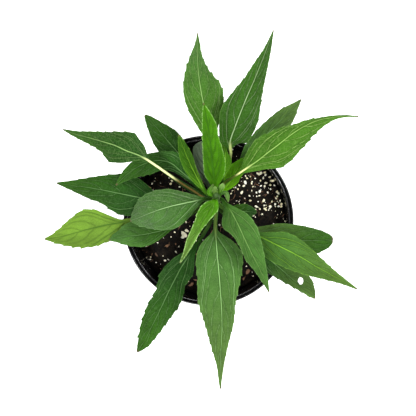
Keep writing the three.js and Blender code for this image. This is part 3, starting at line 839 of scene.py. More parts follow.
@dataclass
class SoilBits:
    """Peat crumbs, perlite grains, bark chips and root fibres that lie on the soil, in mm.

    `placed_grains` and `placed_chips` are listed one by one: each is u, v (pixels) and half its
    length (mm). The others lie by a seeded rule, within `reach` and clear of the stem.
    """

    ground: Ground
    view: "PhotoView"
    seed: int = 7
    crumbs: int = 3600
    grains: int = 260
    chips: int = 46
    fibres: int = 150
    reach: float = 73.0
    stem_foot: tuple[float, float] = (5.8, 16.5)
    stem_room: float = 7.5
    lean: float = 0.45
    placed_chips: tuple = (
        (192, 284, 4.6), (196, 280, 3.2), (248, 271, 4.6), (238, 281, 3.6), (167, 246, 3.4),
        (244, 278, 3.0), (276, 198, 3.2), (279, 205, 2.8),
    )
    placed_grains: tuple = (
        (184, 234.5, 3.6), (182.6, 237.2, 2.0), (187, 230.8, 2.2), (141, 178.5, 0.9),
        (146, 258, 1.0), (150, 259.4, 1.1), (156.4, 263, 1.0), (165.2, 260.4, 1.3),
        (168.4, 259.6, 0.9), (176, 252, 1.1), (163, 256, 0.6), (152, 183.5, 1.2), (155, 178, 0.7),
        (169, 178, 0.8), (172, 181, 1.1), (179, 184, 0.7), (186, 222, 1.1), (190, 226.4, 0.9),
        (192, 233, 0.8), (188, 281, 1.1), (253, 276, 1.1), (252, 272.5, 0.7), (236.4, 164.8, 1.3),
        (191.4, 250, 0.9), (200, 236, 0.8), (203.8, 232, 0.7), (145.5, 246, 1.3), (171, 237, 0.7),
        (245, 182.5, 2.0), (243.8, 185.8, 1.5), (241.7, 192.5, 1.8), (237.9, 189.2, 1.2),
        (247, 178.3, 1.3), (258.3, 173.7, 1.7), (260.8, 173.2, 1.9), (264.6, 172.5, 1.6),
        (265.4, 175, 1.3), (269.6, 177, 1.3), (272, 180.8, 1.9), (263.3, 178, 1.4),
        (260.4, 180.8, 1.1), (265.8, 183, 1.6), (264.6, 186.3, 1.4),
        (260.8, 185.8, 1.0), (270.4, 189.2, 1.1), (259.6, 191.3, 1.7), (267.5, 192.5, 1.3),
        (256.3, 192.5, 1.3), (251.7, 190.8, 0.9), (252.9, 186.7, 0.9), (249.2, 195.8, 1.2),
        (259.2, 195.8, 1.0), (250, 200.7, 1.4), (263.3, 200.8, 1.9), (271.7, 201.7, 1.1),
        (274.2, 185.4, 1.1), (276.7, 191.7, 1.4), (278.3, 193.3, 1.5), (277, 196.7, 1.3),
        (275.8, 198.3, 1.3), (275, 204.2, 1.4), (280, 200.8, 1.2), (281.3, 204.2, 1.7),
        (280.8, 206.7, 1.2), (264.2, 205.4, 1.3), (259.6, 208.8, 1.2), (265, 209.2, 1.6),
        (270, 206.7, 1.7), (268.8, 210, 1.1), (261.7, 214.2, 1.3), (263.8, 213.3, 0.9),
        (285, 221.3, 1.1), (283.3, 218.8, 0.8), (239.2, 185.4, 1.1), (255, 178.5, 0.9),
    )

    def lump(self, rough: float, flat: float, planes: int) -> Model:
        """One small lump: a ball pushed about by chance and cut by a few planes.

        Args:
            rough: how far its points stray.
            flat: its height against its width.
            planes: how many flat cuts it has.

        Returns:
            Points about 1 from the middle, and faces.
        """
        rng = random.Random(self.seed * 31 + planes * 7 + int(rough * 100))
        Bench.clear_selection()
        bpy.ops.mesh.primitive_ico_sphere_add(subdivisions=1, radius=1.0, location=(0, 0, 0))
        ball = bpy.context.active_object
        points = Bench.points(ball)
        for point in points:
            point *= 1 + rng.uniform(-rough, rough)
        Bench.lay(ball, points * np.array([1.0, rng.uniform(0.65, 0.95), flat]))
        with Bench.editing(ball, "FACE"):
            for _ in range(planes):
                way = Vector((rng.uniform(-1, 1), rng.uniform(-1, 1), rng.uniform(-0.4, 1))).normalized()
                bpy.ops.mesh.select_all(action="SELECT")
                bpy.ops.mesh.bisect(plane_co=way * 0.62, plane_no=way, use_fill=True,
                                    clear_outer=True)
            Bench.face_outwards()
        return Bench.take_apart(ball)

    def strip(self, bend: float) -> Model:
        """One curved fibre: a thin bar, cut along its length and bowed.

        Args:
            bend: how far its middle stands off its ends.

        Returns:
            Points of a strip 2 long, and faces.
        """
        Bench.clear_selection()
        bpy.ops.mesh.primitive_cube_add(size=2, location=(0, 0, 0))
        bar = bpy.context.active_object
        with Bench.editing(bar, "FACE"):
            for i in range(1, 6):
                bpy.ops.mesh.select_all(action="SELECT")
                bpy.ops.mesh.bisect(plane_co=(-1 + i / 3, 0, 0), plane_no=(1, 0, 0))
        points, faces = Bench.take_apart(bar)
        taper = 1 - 0.6 * points[:, 0] ** 2
        points[:, 1] = points[:, 1] * 0.1 * taper + bend * points[:, 0] ** 2
        points[:, 2] = points[:, 2] * 0.07 * taper + 0.16 * (1 - points[:, 0] ** 2)
        return points, faces

    def spot(self, rng: random.Random) -> tuple[float, float]:
        """A chance place on the soil, clear of the stem and the wall.

        Args:
            rng: source of chance.

        Returns:
            Its x and y.
        """
        while True:
            x = rng.uniform(-self.reach, self.reach)
            y = rng.uniform(-self.reach, self.reach)
            limit = self.reach + 1.5 * math.cos(math.atan2(y, x) - self.ground.high_side)
            off_stem = math.hypot(x - self.stem_foot[0], y - self.stem_foot[1])
            if math.hypot(x, y) < limit and off_stem > self.stem_room:
                return x, y

    def on_soil(self, u: float, v: float) -> tuple[float, float]:
        """Place on the soil, in mm, that shows at a pixel."""
        return self.view.place(u, v, self.ground.level)[:2]

    def seat(self, x: float, y: float, size: Sequence[float], rng: random.Random,
             sunk: float) -> Matrix:
        """Turn, size and place of a bit that lies on the soil.

        Args:
            x: place along X.
            y: place along Y.
            size: half its length, width and height.
            rng: source of chance.
            sunk: how deep it sits, as a share of its height.

        Returns:
            The matrix.
        """
        z = self.ground.rough_height(x, y) + size[2] * (1 - 2 * sunk)
        turn = Matrix.Rotation(rng.uniform(0, 2 * math.pi), 4, "Z")
        pitch = Matrix.Rotation(rng.uniform(-self.lean, self.lean), 4, "X")
        roll = Matrix.Rotation(rng.uniform(-self.lean, self.lean), 4, "Y")
        return Matrix.Translation((x, y, z)) @ turn @ (pitch @ roll) @ Matrix.Diagonal((*size, 1))

    def build_crumbs(self) -> Piece:
        """Peat crumbs all over the soil.

        Returns:
            The crumbs' piece.
        """
        rng = random.Random(self.seed)
        models = [self.lump(0.28, 0.75, k % 3) for k in range(5)]
        bed = Scatter(rng)
        for _ in range(self.crumbs):
            x, y = self.spot(rng)
            r = 0.35 + 1.1 * rng.random() ** 3
            size = (r * rng.uniform(0.8, 1.5), r, r * rng.uniform(0.6, 0.9))
            bed.add(rng.choice(models), self.seat(x, y, size, rng, 0.3), rng.random() ** 2)
        return bed.join("peat_crumbs", Slot.PEAT, PeatMix().material("peat_crumb", crumbs=True))

    def crowding(self, x: float, y: float) -> float:
        """How likely a grain lies at a place: thick in the open right part, thin elsewhere."""
        if x < 22:
            return 0.12
        return 0.1 + 0.6 * float(smooth(-2, 16, y)) + 0.25 * float(smooth(58, 68, x))

    def build_perlite(self) -> Piece:
        """Perlite grains: large ones listed one by one, and more by chance.

        Returns:
            The grains' piece.
        """
        rng = random.Random(self.seed + 1)
        models = [self.lump(0.2, 0.8, 2 + k) for k in range(4)]
        bed = Scatter(rng)
        taken = [(*self.on_soil(u, v), r) for u, v, r in self.placed_grains]
        while len(taken) < self.grains:
            x, y = self.spot(rng)
            if rng.random() > self.crowding(x, y):
                continue
            r = 0.4 + 1.2 * rng.random() ** 2.5
            if all(math.hypot(x - a, y - b) > 0.8 * (r + c) for a, b, c in taken):
                taken.append((x, y, r))
        for x, y, r in taken:
            stretch = rng.uniform(1.0, 1.45)
            size = (r * stretch, r / stretch ** 0.5, 0.75 * r)
            bed.add(rng.choice(models), self.seat(x, y, size, rng, 0.22), rng.random())
        return bed.join("perlite_grains", Slot.PEAT, PerliteWhite().material())

    def build_bark(self) -> Piece:
        """Bark chips and root fibres.

        Returns:
            Their piece.
        """
        rng = random.Random(self.seed + 2)
        chips = [self.lump(0.15, 0.5, 3 + k) for k in range(3)]
        strips = [self.strip(bend) for bend in (0.08, 0.2, -0.15)]
        bed = Scatter(rng)
        for u, v, r in self.placed_chips:
            x, y = self.on_soil(u, v)
            size = (r, r * 0.5, r * 0.3)
            bed.add(rng.choice(chips), self.seat(x, y, size, rng, 0.2), rng.uniform(0.3, 0.8))
        for _ in range(self.chips):
            x, y = self.spot(rng)
            r = rng.uniform(1.3, 3.2)
            size = (r, r * rng.uniform(0.25, 0.5), r * 0.22)
            bed.add(rng.choice(chips), self.seat(x, y, size, rng, 0.25), rng.uniform(0.1, 0.8))
        for _ in range(self.fibres):
            x, y = self.spot(rng)
            r = rng.uniform(1.6, 4.5)
            size = (r, r * 0.8, r * 0.5)
            bed.add(rng.choice(strips), self.seat(x, y, size, rng, 0.48), rng.uniform(0.3, 1.0))
        return bed.join("bark_and_fibre", Slot.PEAT, BarkBrown().material())

    def build(self) -> None:
        """Models and dresses all that lies on the soil."""
        self.build_crumbs()
        self.build_perlite()
        self.build_bark()


@dataclass(frozen=True)
class PhotoView:
    """The straight-down view: its place in mm, and its focal length and middle in pixels."""

    x: float = -0.5
    y: float = 12.0
    z: float = 1365.0
    focal: float = 1241.0
    centre: float = 208.0

    def scale(self, z: float) -> float:
        """Millimetres for one pixel at a height."""
        return (self.z - z) / self.focal

    def place(self, u: float, v: float, z: float) -> tuple[float, float, float]:
        """Point of the frame, in mm, that shows at a pixel."""
        k = self.scale(z)
        return self.x + (u - self.centre) * k, self.y - (v - self.centre) * k, z


class RowCurve:
    """A smooth curve through rows of numbers; the first three of each row are a point."""

    def __init__(self, rows: Sequence[Sequence[float]]) -> None:
        """Finds the knots and slopes.

        Args:
            rows: the rows to pass through.
        """
        self.rows = np.array(rows, float)
        steps = np.linalg.norm(np.diff(self.rows[:, :3], axis=0), axis=1)
        self.knots = np.concatenate([[0.0], np.cumsum(steps)])
        self.length = float(self.knots[-1])
        low = np.maximum(np.arange(len(rows)) - 1, 0)
        high = np.minimum(np.arange(len(rows)) + 1, len(rows) - 1)
        self.slopes = (self.rows[high] - self.rows[low]) / (self.knots[high] - self.knots[low])[:, None]

    def at(self, s: np.ndarray) -> np.ndarray:
        """Rows of the curve at the given lengths along it.

        Args:
            s: the lengths.

        Returns:
            One row for each.
        """
        i = np.clip(np.searchsorted(self.knots, s, side="left") - 1, 0, len(self.rows) - 2)
        h = (self.knots[i + 1] - self.knots[i])[:, None]
        t = ((s - self.knots[i])[:, None]) / h
        t2, t3 = t * t, t * t * t
        return ((2 * t3 - 3 * t2 + 1) * self.rows[i] + (t3 - 2 * t2 + t) * h * self.slopes[i]
                + (3 * t2 - 2 * t3) * self.rows[i + 1] + (t3 - t2) * h * self.slopes[i + 1])


@dataclass(frozen=True)
class StemLine:
    """Axis and radius of the stem, in mm."""

    rows: tuple = (
        (5.8, 16.5, 139.0, 6.2), (5.8, 17.0, 152.0, 6.0), (6.1, 18.3, 172.0, 4.9),
        (6.6, 20.5, 196.0, 4.0), (6.9, 22.8, 216.0, 3.3), (6.8, 24.0, 226.0, 2.5),
    )

    def at_height(self, z: np.ndarray) -> np.ndarray:
        """Rows x, y, z, radius at the given heights."""
        curve = RowCurve(self.rows)
        fine = curve.at(np.linspace(0, curve.length, 400))
        return np.stack([np.interp(z, fine[:, 2], fine[:, k]) for k in range(4)], axis=-1)


class Green(Enum):
    """Greens of the leaves."""

    # each green is partly the leaf's own and partly painted light and shade: DEEP painted shade, LIME
    # painted light
    DEEP = paint(20, 56, 8)
    BOTTLE = paint(36, 74, 8)
    LEAF = paint(48, 88, 12)
    GRASS = paint(56, 106, 8)
    LIME = paint(88, 150, 8)
    MOSS = paint(54, 90, 34)
    SAGE = paint(66, 94, 38)
    SOFT = paint(80, 110, 46)
    SUNNY = paint(88, 120, 36)
    SILVER = paint(102, 136, 68)
    ASH = paint(82, 96, 76)


class PaintedHalfLight(Enum):
    """Which half of a leaf gets painted light and which painted shade: factors for its left and right
    half.
    """

    EVEN = (1.0, 1.0)
    LEFT = (1.1, 0.9)
    RIGHT = (0.9, 1.1)


class BladeShade(Shade):
    """The nodes of a leaf's skin, with what its blade carries."""

    def __init__(self, name: str) -> None:
        """Starts the material and reads the blade's coordinates and lengths.

        Args:
            name: the material's name.
        """
        super().__init__(name)
        self.flat = self.sheet("blade")
        self.share = self.attribute("share")
        self.middle = self.attribute("middle_mm")
        self.margin = self.attribute("margin_mm")
        self.spots = self.cloud(self.flat, 10.0, 3, 0.75)


@dataclass(frozen=True)
class VeinMarks:
    """Where a blade's veins are drawn and where they dip: sockets from 0 to 1."""

    side_line: Socket
    side_dip: Socket
    nerve_line: Socket
    nerve_dip: Socket
    rib_line: Socket
    rib_dip: Socket
    net: Socket
    fine_net: Socket


@dataclass(frozen=True)
class LeafFinish:
    """Satin leaf skin: its tones, how its veins show, and its relief.

    `near` is its green near the stalk and `far` near the tip, each partly the leaf's own green
    and partly painted light and shade; `lit` says which half gets painted light and which painted shade.
    The vein widths are half-widths in mm.
    """

    slot: Slot
    near: Green = Green.LEAF
    far: Green = Green.LEAF
    lit: PaintedHalfLight = PaintedHalfLight.EVEN
    vein: Colour = paint(150, 186, 112)
    edge: Colour = paint(140, 176, 100)
    stalk_top: Colour | None = None
    stalk_foot: Colour = paint(44, 68, 18)
    burnt: Colour = paint(92, 70, 58)
    stalk_turn: tuple[float, float] = (-0.35, 0.0)
    core_width: float = 1.3
    rib_width: float = 0.5
    rib_show: float = 0.7
    nerve_show: float = 0.3
    vein_show: float = 0.28
    edge_show: float = 0.35
    edge_width: float = 0.7
    net_show: float = 0.1
    mottle: float = 0.4
    roughness: float = 0.52
    shine: float = 0.08
    relief: float = 0.8
    under_pale: float = 1.35

    def material(self, name: str, face: Face) -> bpy.types.Material:
        """Builds the skin of one face.

        Args:
            name: the leaf's name.
            face: upper or under face.

        Returns:
            The material.
        """
        under = face is Face.UNDER
        skin = BladeShade(f"{name}_{face.value}")
        marks = self.draw_veins(skin)
        # the blade's mottle with its painted light and shade; the under face is paler
        light = skin.times(self.mottle_and_painted_light(skin, marks), self.under_pale if under else 1.0)
        colour = self.colour_stalk(skin, self.colour_blade(skin, marks, light))
        rough = skin.range(skin.spots, 0.3, 0.7, (self.roughness - 0.07, self.roughness + 0.09))
        skin.set(Base_Color=colour, Roughness=rough, Specular_IOR_Level=self.shine)
        skin.bump(self.dip_veins(skin, marks, -1.0 if under else 1.0), 0.85 * self.relief, 1.0)
        return skin.material

    def draw_veins(self, skin: BladeShade) -> VeinMarks:
        """Draws the veins from the lengths that the blade carries.

        Args:
            skin: the material's nodes.

        Returns:
            The marks.
        """
        share, middle = skin.share, skin.middle
        warp = skin.cloud(skin.flat, 1.4, 2)

        late = skin.math("SUBTRACT", skin.attribute("vein_phase"), 0.17)
        wander = skin.math("MULTIPLY_ADD", warp, 0.34, late)
        off = skin.times(skin.math("PINGPONG", wander, 0.5), skin.attribute("vein_pitch"))
        reach = skin.times(skin.band(skin.margin, 0.2, 5.0), skin.band(share, 0.0, 0.05))
        broken = skin.times(reach, skin.band(skin.cloud(skin.flat, 2.2, 2), 0.3, 0.6))

        inner = skin.math("SUBTRACT", skin.attribute("nerve_mm"), 0.8)
        astray = skin.math("ABSOLUTE", skin.math("MULTIPLY_ADD", warp, 1.6, inner))
        drawn = skin.times(skin.band(share, 0.0, 0.06), skin.band(share, 0.6, 0.3))

        rib = skin.math("DIVIDE", middle, skin.range(share, 0.0, 0.9, (1.0, 0.42)))
        rib_line = skin.band(rib, self.rib_width + 0.3, self.rib_width - 0.25)
        net = skin.band(skin.cells(skin.flat, 3.4, "DISTANCE_TO_EDGE"), 0.08, 0.0)
        return VeinMarks(
            side_line=skin.times(skin.band(off, 0.4, 0.1), broken),
            side_dip=skin.times(skin.band(off, 1.5, 0.2), reach),
            nerve_line=skin.times(skin.band(astray, 0.42, 0.12), drawn),
            nerve_dip=skin.times(skin.band(astray, 1.7, 0.2), drawn),
            rib_line=skin.times(rib_line, skin.range(share, 0.3, 1.0, (1.0, 0.35))),
            rib_dip=skin.band(rib, 2.2, self.rib_width),
            net=skin.times(net, skin.band(middle, 0.4, 2.0)),
            fine_net=skin.band(skin.cells(skin.flat, 11.0, "DISTANCE_TO_EDGE"), 0.1, 0.0),
        )

    def mottle_and_painted_light(self, skin: BladeShade, marks: VeinMarks) -> Socket:
        """How light the blade is: mottled, with painted shade in the grooves along its veins and
        painted light on one half and painted shade on the other.

        Args:
            skin: the material's nodes.
            marks: its veins.

        Returns:
            The factor's socket.
        """
        patch = skin.cloud(skin.flat, 0.75, 3, 0.6)
        # painted shade: the blade is painted darker in the grooves along its veins, more for a deeper
        # relief
        painted_vein_shade = skin.math("MAXIMUM", skin.times(marks.side_dip, 0.85), marks.rib_dip)
        painted_vein_shade = skin.math("MAXIMUM", painted_vein_shade, marks.nerve_dip)
        light = skin.range(patch, 0.3, 0.7, (1 - 0.4 * self.mottle, 1 + 0.5 * self.mottle))
        for factor in (
            skin.range(skin.spots, 0.3, 0.7, (1 - 0.6 * self.mottle, 1 + 0.6 * self.mottle)),
            skin.range(painted_vein_shade, 0, 1, (1.0, 1 - 0.4 * self.relief)),
            # painted light and shade: one half of the blade is painted lighter and the other darker
            skin.range(skin.attribute("across"), -0.4, 0.4, self.lit.value),
        ):
            light = skin.times(light, factor)
        return light

    def colour_blade(self, skin: BladeShade, marks: VeinMarks,
                     light: Socket) -> Socket:
        """Lays the veins and the pale margin over the blade's two greens.

        Args:
            skin: the material's nodes.
            marks: its veins.
            light: how light it is, with its mottle and its painted light and shade.

        Returns:
            The colour's socket.
        """
        rim = skin.times(skin.band(skin.margin, self.edge_width, 0.1), skin.band(skin.share, 0.0, 0.1))
        rim = skin.times(rim, skin.band(skin.cloud(skin.flat, 3.2, 2), 0.35, 0.6))
        colour = skin.mix(skin.band(skin.share, 0.1, 0.9), self.near.value, self.far.value)
        colour = skin.lit(colour, light)
        for mark, show, over in (
            (marks.net, self.net_show, self.vein),
            (marks.fine_net, 0.4 * self.net_show, self.vein),
            (marks.side_line, self.vein_show, self.vein),
            (marks.nerve_line, self.nerve_show, self.vein),
            (rim, self.edge_show, self.edge),
            (marks.rib_line, self.rib_show, self.vein),
        ):
            colour = skin.wash(colour, over, mark, show)
        return colour

    def colour_stalk(self, skin: BladeShade, colour: Socket) -> Socket:
        """Colours the stalk, where it runs out into the blade, and the brown tip.

        Args:
            skin: the material's nodes.
            colour: the blade's colour.

        Returns:
            The colour's socket.
        """
        stalk_top = self.stalk_top or self.near.value
        stalk = skin.mix(skin.band(skin.share, *self.stalk_turn), self.stalk_foot, stalk_top)
        stalk = skin.lit(stalk, skin.range(skin.spots, 0.3, 0.7, (0.8, 1.15)))
        core = skin.times(skin.band(skin.middle, 1.3 * self.core_width, 0.5 * self.core_width),
                          skin.band(skin.share, 0.09, -0.04))
        colour = skin.mix(core, colour, stalk)
        return skin.wash(colour, self.burnt, skin.band(skin.share, 0.965, 1.0), 0.7)

    def dip_veins(self, skin: BladeShade, marks: VeinMarks, lift: float) -> Socket:
        """Height of the skin: its veins lie low above and stand out below.

        Args:
            skin: the material's nodes.
            marks: its veins.
            lift: 1 for the upper face, -1 for the under face.

        Returns:
            The height's socket.
        """
        bristle = skin.band(skin.cells(skin.flat, 13.0), 0.3, 0.05)
        height = skin.times(marks.side_dip, -0.55 * lift)
        for mark, rise in ((marks.nerve_dip, -0.5 * lift), (marks.net, -0.25 * lift),
                           (marks.fine_net, -0.1 * lift), (bristle, 0.12),
                           (marks.rib_dip, -0.5 * lift)):
            height = skin.math("MULTIPLY_ADD", mark, rise, height)
        return height


class Tone(Enum):
    """How a leaf's skin and veins look from a step away, by its age and place on the plant."""

    LIGHT = LeafFinish(Slot.LIGHT, vein=paint(48, 84, 20), edge=paint(84, 124, 40),
                       rib_show=0.85, nerve_show=0.7, vein_show=0.35, relief=0.55, net_show=0.06)
    BRIGHT = LeafFinish(Slot.BRIGHT, vein=paint(112, 164, 44), edge=paint(128, 176, 66),
                        net_show=0.05, shine=0.05)
    MIDDLE = LeafFinish(Slot.MIDDLE, vein=paint(142, 180, 104))
    DARK = LeafFinish(Slot.DARK, vein=paint(104, 146, 84), edge=paint(100, 138, 76),
                      rib_show=0.55, vein_show=0.28)
    SATIN = LeafFinish(Slot.SATIN, vein=paint(140, 178, 116), edge=paint(130, 166, 106),
                       shine=0.18, roughness=0.42)
    GREY = LeafFinish(Slot.GREY, vein=paint(80, 102, 68), rib_show=0.25, edge_show=0.1)
    PALE = LeafFinish(Slot.PALE, vein=paint(150, 184, 100), edge=paint(168, 204, 118), rib_show=0.15,
                      edge_show=0.12, edge_width=0.3, nerve_show=0.0, vein_show=0.0, net_show=0.0,
                      relief=0.15, stalk_foot=paint(40, 66, 18))


@dataclass(frozen=True)
class LeafPlan:
    """One leaf. Rows are u, v (pixels), z (mm), half-width left and right (pixels), to its tip.

    `seat` is its height on the stem, `blade` the row where its stalk ends, `tone` its look,
    `near` and `far` its greens near stalk and tip, and `lit` which half gets painted light and
    which painted shade; `finish` holds what else differs from its tone. `fold` raises both
    halves, `arch` bends the margins down, `tilt` leans it at its start, middle and tip, and
    `wave`, `waves` and `phase` ripple it.
    `tooth` is the depth of its teeth in mm and `teeth` their number, or 0 for one in 9 mm.
    `crumple` is the strength of its small swells, `quill` its stalk's roundness and `rib` the
    depth of its midrib in mm. `columns` counts the faces across it. `hole` is the middle of an
    insect hole in pixels, and its width and length in mm.
    """

    node: str
    tone: Tone
    seat: float
    blade: int
    rows: tuple
    near: Green
    far: Green
    lit: PaintedHalfLight = PaintedHalfLight.EVEN
    finish: dict = field(default_factory=dict)
    fold: float = 0.12
    arch: float = 0.2
    tilt: tuple[float, float, float] = (0.0, 0.0, 0.0)
    wave: float = 0.06
    waves: float = 3.0
    phase: float = 0.0
    tooth: float = 0.55
    crumple: float = 1.0
    quill: float = 1.0
    teeth: int = 0
    rib: float = 1.1
    columns: int = 32
    hole: tuple | None = None


@dataclass
class Sheet:
    """A leaf's laid surface: arrays with one entry for each station and column."""

    points: np.ndarray
    thickness: np.ndarray
    normals: np.ndarray
    share: np.ndarray
    side: np.ndarray
    half: np.ndarray
    run: np.ndarray
    phase: np.ndarray
    pitch: np.ndarray
    nerve: np.ndarray


@dataclass
class Leaf:
    """A stalk that widens into a toothed, veined blade."""

    plan: LeafPlan
    stem: StemLine
    view: PhotoView
    tooth_profile: tuple = (-0.35, -0.3, -0.18, 0.0, 0.22, 0.5, 0.72, -0.1)
    tooth_ahead: tuple = (0.0, 0.0, 0.0, 0.05, 0.15, 0.4, 0.9, 0.1)
    vein_gap: float = 0.19
    skin: float = 0.45
    hole_level: float = 172.0
    hole_rim: float = 1.45

    def __post_init__(self) -> None:
        """Places the leaf's line and finds where it leaves the stem."""
        x, y, z, _ = self.stem.at_height(np.array(self.plan.seat))
        placed = []
        for u, v, height, left, right in self.plan.rows:
            k = self.view.scale(height)
            placed.append((*self.view.place(u, v, height), left * k, right * k))
        self.curve = RowCurve([(x, y, z, placed[0][3], placed[0][4]), *placed])
        self.blade_start = float(self.curve.knots[self.plan.blade + 1])
        self.blade_length = self.curve.length - self.blade_start
        self.rng = random.Random(self.plan.node)
        along = self.curve.at(np.arange(0, self.blade_start, 0.2))
        axis = self.stem.at_height(along[:, 2])
        clear = np.hypot(*(along[:, :2] - axis[:, :2]).T) - axis[:, 3]
        self.start = 0.2 * int(np.argmax(clear > -1.0))

    def stations(self) -> tuple[np.ndarray, int]:
        """Lengths along the leaf at which it has a row of points.

        Returns:
            The lengths, and how many belong to the stalk.
        """
        stalk = np.linspace(self.start, self.blade_start,
                            max(3, int((self.blade_start - self.start) / 2.6)), endpoint=False)
        teeth = self.plan.teeth or max(3, round(self.blade_length / 9.0))
        blade = np.linspace(self.blade_start, self.curve.length, teeth * 8 + 1)
        return np.concatenate([stalk, blade]), len(stalk)

    def margins(self, share: np.ndarray, stalk_count: int,
                widths: np.ndarray) -> tuple[np.ndarray, np.ndarray]:
        """How far the teeth stand out and lean ahead, for the left and right margins.

        Args:
            share: passed share of the blade at each station.
            stalk_count: stations before the blade.
            widths: whole width at each station.

        Returns:
            Two arrays, stations by sides.
        """
        count = len(share)
        cut = smooth(0.05, 0.2, share) * (1 - smooth(0.9, 0.985, share))
        depth = cut * self.plan.tooth * np.minimum(1, widths / 18)
        grow, ahead = np.zeros((count, 2)), np.zeros((count, 2))
        for side, shift in ((0, 0), (1, 3)):
            size = 1.0
            for i in range(stalk_count, count):
                step = (i - stalk_count + shift) % 8
                if step == 0:
                    size = self.rng.choice((0.35, 0.7, 1.0, 1.25, 1.5))
                grow[i, side] = depth[i] * size * self.tooth_profile[step]
                ahead[i, side] = cut[i] * size * self.tooth_ahead[step]
        return grow, ahead

    def lay(self) -> Sheet:
        """Works out the whole surface.

        Returns:
            The sheet.
        """
        plan = self.plan
        s, stalk_count = self.stations()
        rows = self.curve.at(s)
        share = (s - self.blade_start) / self.blade_length
        before = self.curve.at(np.maximum(0, s - 0.5))[:, :3]
        after = self.curve.at(np.minimum(self.curve.length, s + 0.5))[:, :3]
        along = after - before
        along /= np.linalg.norm(along, axis=1)[:, None]
        across = np.stack([along[:, 1], -along[:, 0], np.zeros(len(s))], axis=1)
        across /= np.linalg.norm(across, axis=1)[:, None]

        t = np.linspace(-1, 1, plan.columns + 1)
        c = (t * (0.6 + 0.4 * np.abs(t)))[None, :]
        side = np.abs(c)
        left, right = np.maximum(rows[:, 3], 0.45), np.maximum(rows[:, 4], 0.45)
        half = np.where(c < 0, left[:, None], right[:, None])
        grow, ahead = self.margins(share, stalk_count, left + right)
        step = self.blade_length / max(1, len(s) - stalk_count - 1)
        grown = np.where(c < 0, grow[:, :1], grow[:, 1:])
        lead = np.where(c < 0, ahead[:, :1], ahead[:, 1:]) * step
        lateral = c * half + np.sign(c) * grown * side ** 5

        q = share[:, None]
        clamped = np.clip(q, 0, 1)
        open_ = smooth(-0.02, 0.2, q)
        lean = np.interp(clamped, [0, 0.5, 1], plan.tilt)
        offset = np.where(c < 0, 2.0, 0.0)
        ripple = plan.wave * np.sin(2 * np.pi * plan.waves * clamped + plan.phase + offset) * side ** 2
        swing = 2 * np.pi * (2.7 * plan.waves + 2) * clamped + 2 * offset + plan.phase
        frill = 0.022 * np.sin(swing) * side ** 4
        soft = np.sqrt(side ** 2 + 0.002) - 0.045
        rise = open_ * (plan.fold * soft - plan.arch * side ** 2 + ripple + frill) - lean * open_ * c
        points = rows[:, None, :3] + across[:, None, :] * lateral[..., None]
        points[..., 2] += rise * half
        points += along[:, None, :] * (lead * side ** 6)[..., None]

        ds = np.gradient(points, axis=0)
        dc = np.gradient(points, axis=1)
        normals = np.cross(dc, ds)
        normals /= np.maximum(np.linalg.norm(normals, axis=2), 1e-9)[..., None]

        forward = 0.22 * side + 0.38 * side ** 3
        phase = (q - forward) / self.vein_gap + np.where(c < 0, 0.0, 0.22)
        slope = (0.22 + 1.14 * side ** 2) / (self.vein_gap * np.maximum(half, 0.5))
        pitch = 1 / np.hypot(slope, 1 / (self.vein_gap * self.blade_length))
        middle = side * half
        stalk = 1 - smooth(-0.06, 0.1, q) + 0 * side
        core = np.minimum(np.minimum(rows[:, 3], rows[:, 4]), 2.6)[:, None] * stalk * plan.quill
        nerve = (side - 0.95 * np.clip(q / 0.5, 0, 1) ** 0.6) * half
        roundness = np.sqrt(np.maximum(0, 1 - side ** 2))

        amount = 0.4 * self.relief() * np.minimum(1, half / 9) * open_ * (1 - smooth(0.75, 1.0, q))
        beat = np.abs(phase - np.round(phase))
        gap = beat * pitch
        quilt = 0.5 * np.sqrt(2 * beat) - 0.55 * np.exp(-((gap / 1.1) ** 2))
        quilt *= np.minimum(1, pitch / 5) * smooth(0.0, 3.0, half - middle)
        groove = -0.5 * np.exp(-((middle / 1.0) ** 2))
        lift = 0.2 + core * (0.45 * roundness - 0.22 * np.exp(-((side / 0.35) ** 2)))
        lift += amount * (quilt + groove) + self.crumple(s, lateral, open_)
        points += normals * lift[..., None]

        keel = plan.rib * (1 - 0.8 * clamped) * (1 - stalk) * np.exp(-((middle / 0.9) ** 2))
        rim = 0.6 + 0.4 * smooth(0, 1.2, half - middle)
        thickness = self.skin * rim + 1.15 * core * roundness + keel
        run = np.broadcast_to(s[:, None], points.shape[:2])
        return Sheet(points, thickness, normals, np.broadcast_to(q, run.shape), c * half, half, run,
                     phase, pitch, nerve)

    def relief(self) -> float:
        """How strongly the blade is quilted between its veins."""
        return self.finish().relief

    def crumple(self, s: np.ndarray, lateral: np.ndarray, open_: np.ndarray) -> np.ndarray:
        """Small uneven swells of a living blade, in mm.

        Args:
            s: each station's length along the leaf.
            lateral: how far each point lies to the side.
            open_: how far the blade has opened at each station, from 0 to 1.

        Returns:
            How far each point stands out.
        """
        seed = self.rng.uniform(0, 50)
        out = np.zeros(lateral.shape)
        for i in range(lateral.shape[0]):
            for j in range(lateral.shape[1]):
                where = Vector((s[i] / 11, lateral[i, j] / 8, seed))
                out[i, j] = 0.45 * noise.noise(where) + 0.18 * noise.noise(where * 2.7)
        return out * open_ * self.plan.crumple

    def finish(self) -> LeafFinish:
        """The leaf's own finish: its tone's, with its greens and what the plan changes."""
        plan = self.plan
        return replace(plan.tone.value, near=plan.near, far=plan.far, lit=plan.lit, **plan.finish)

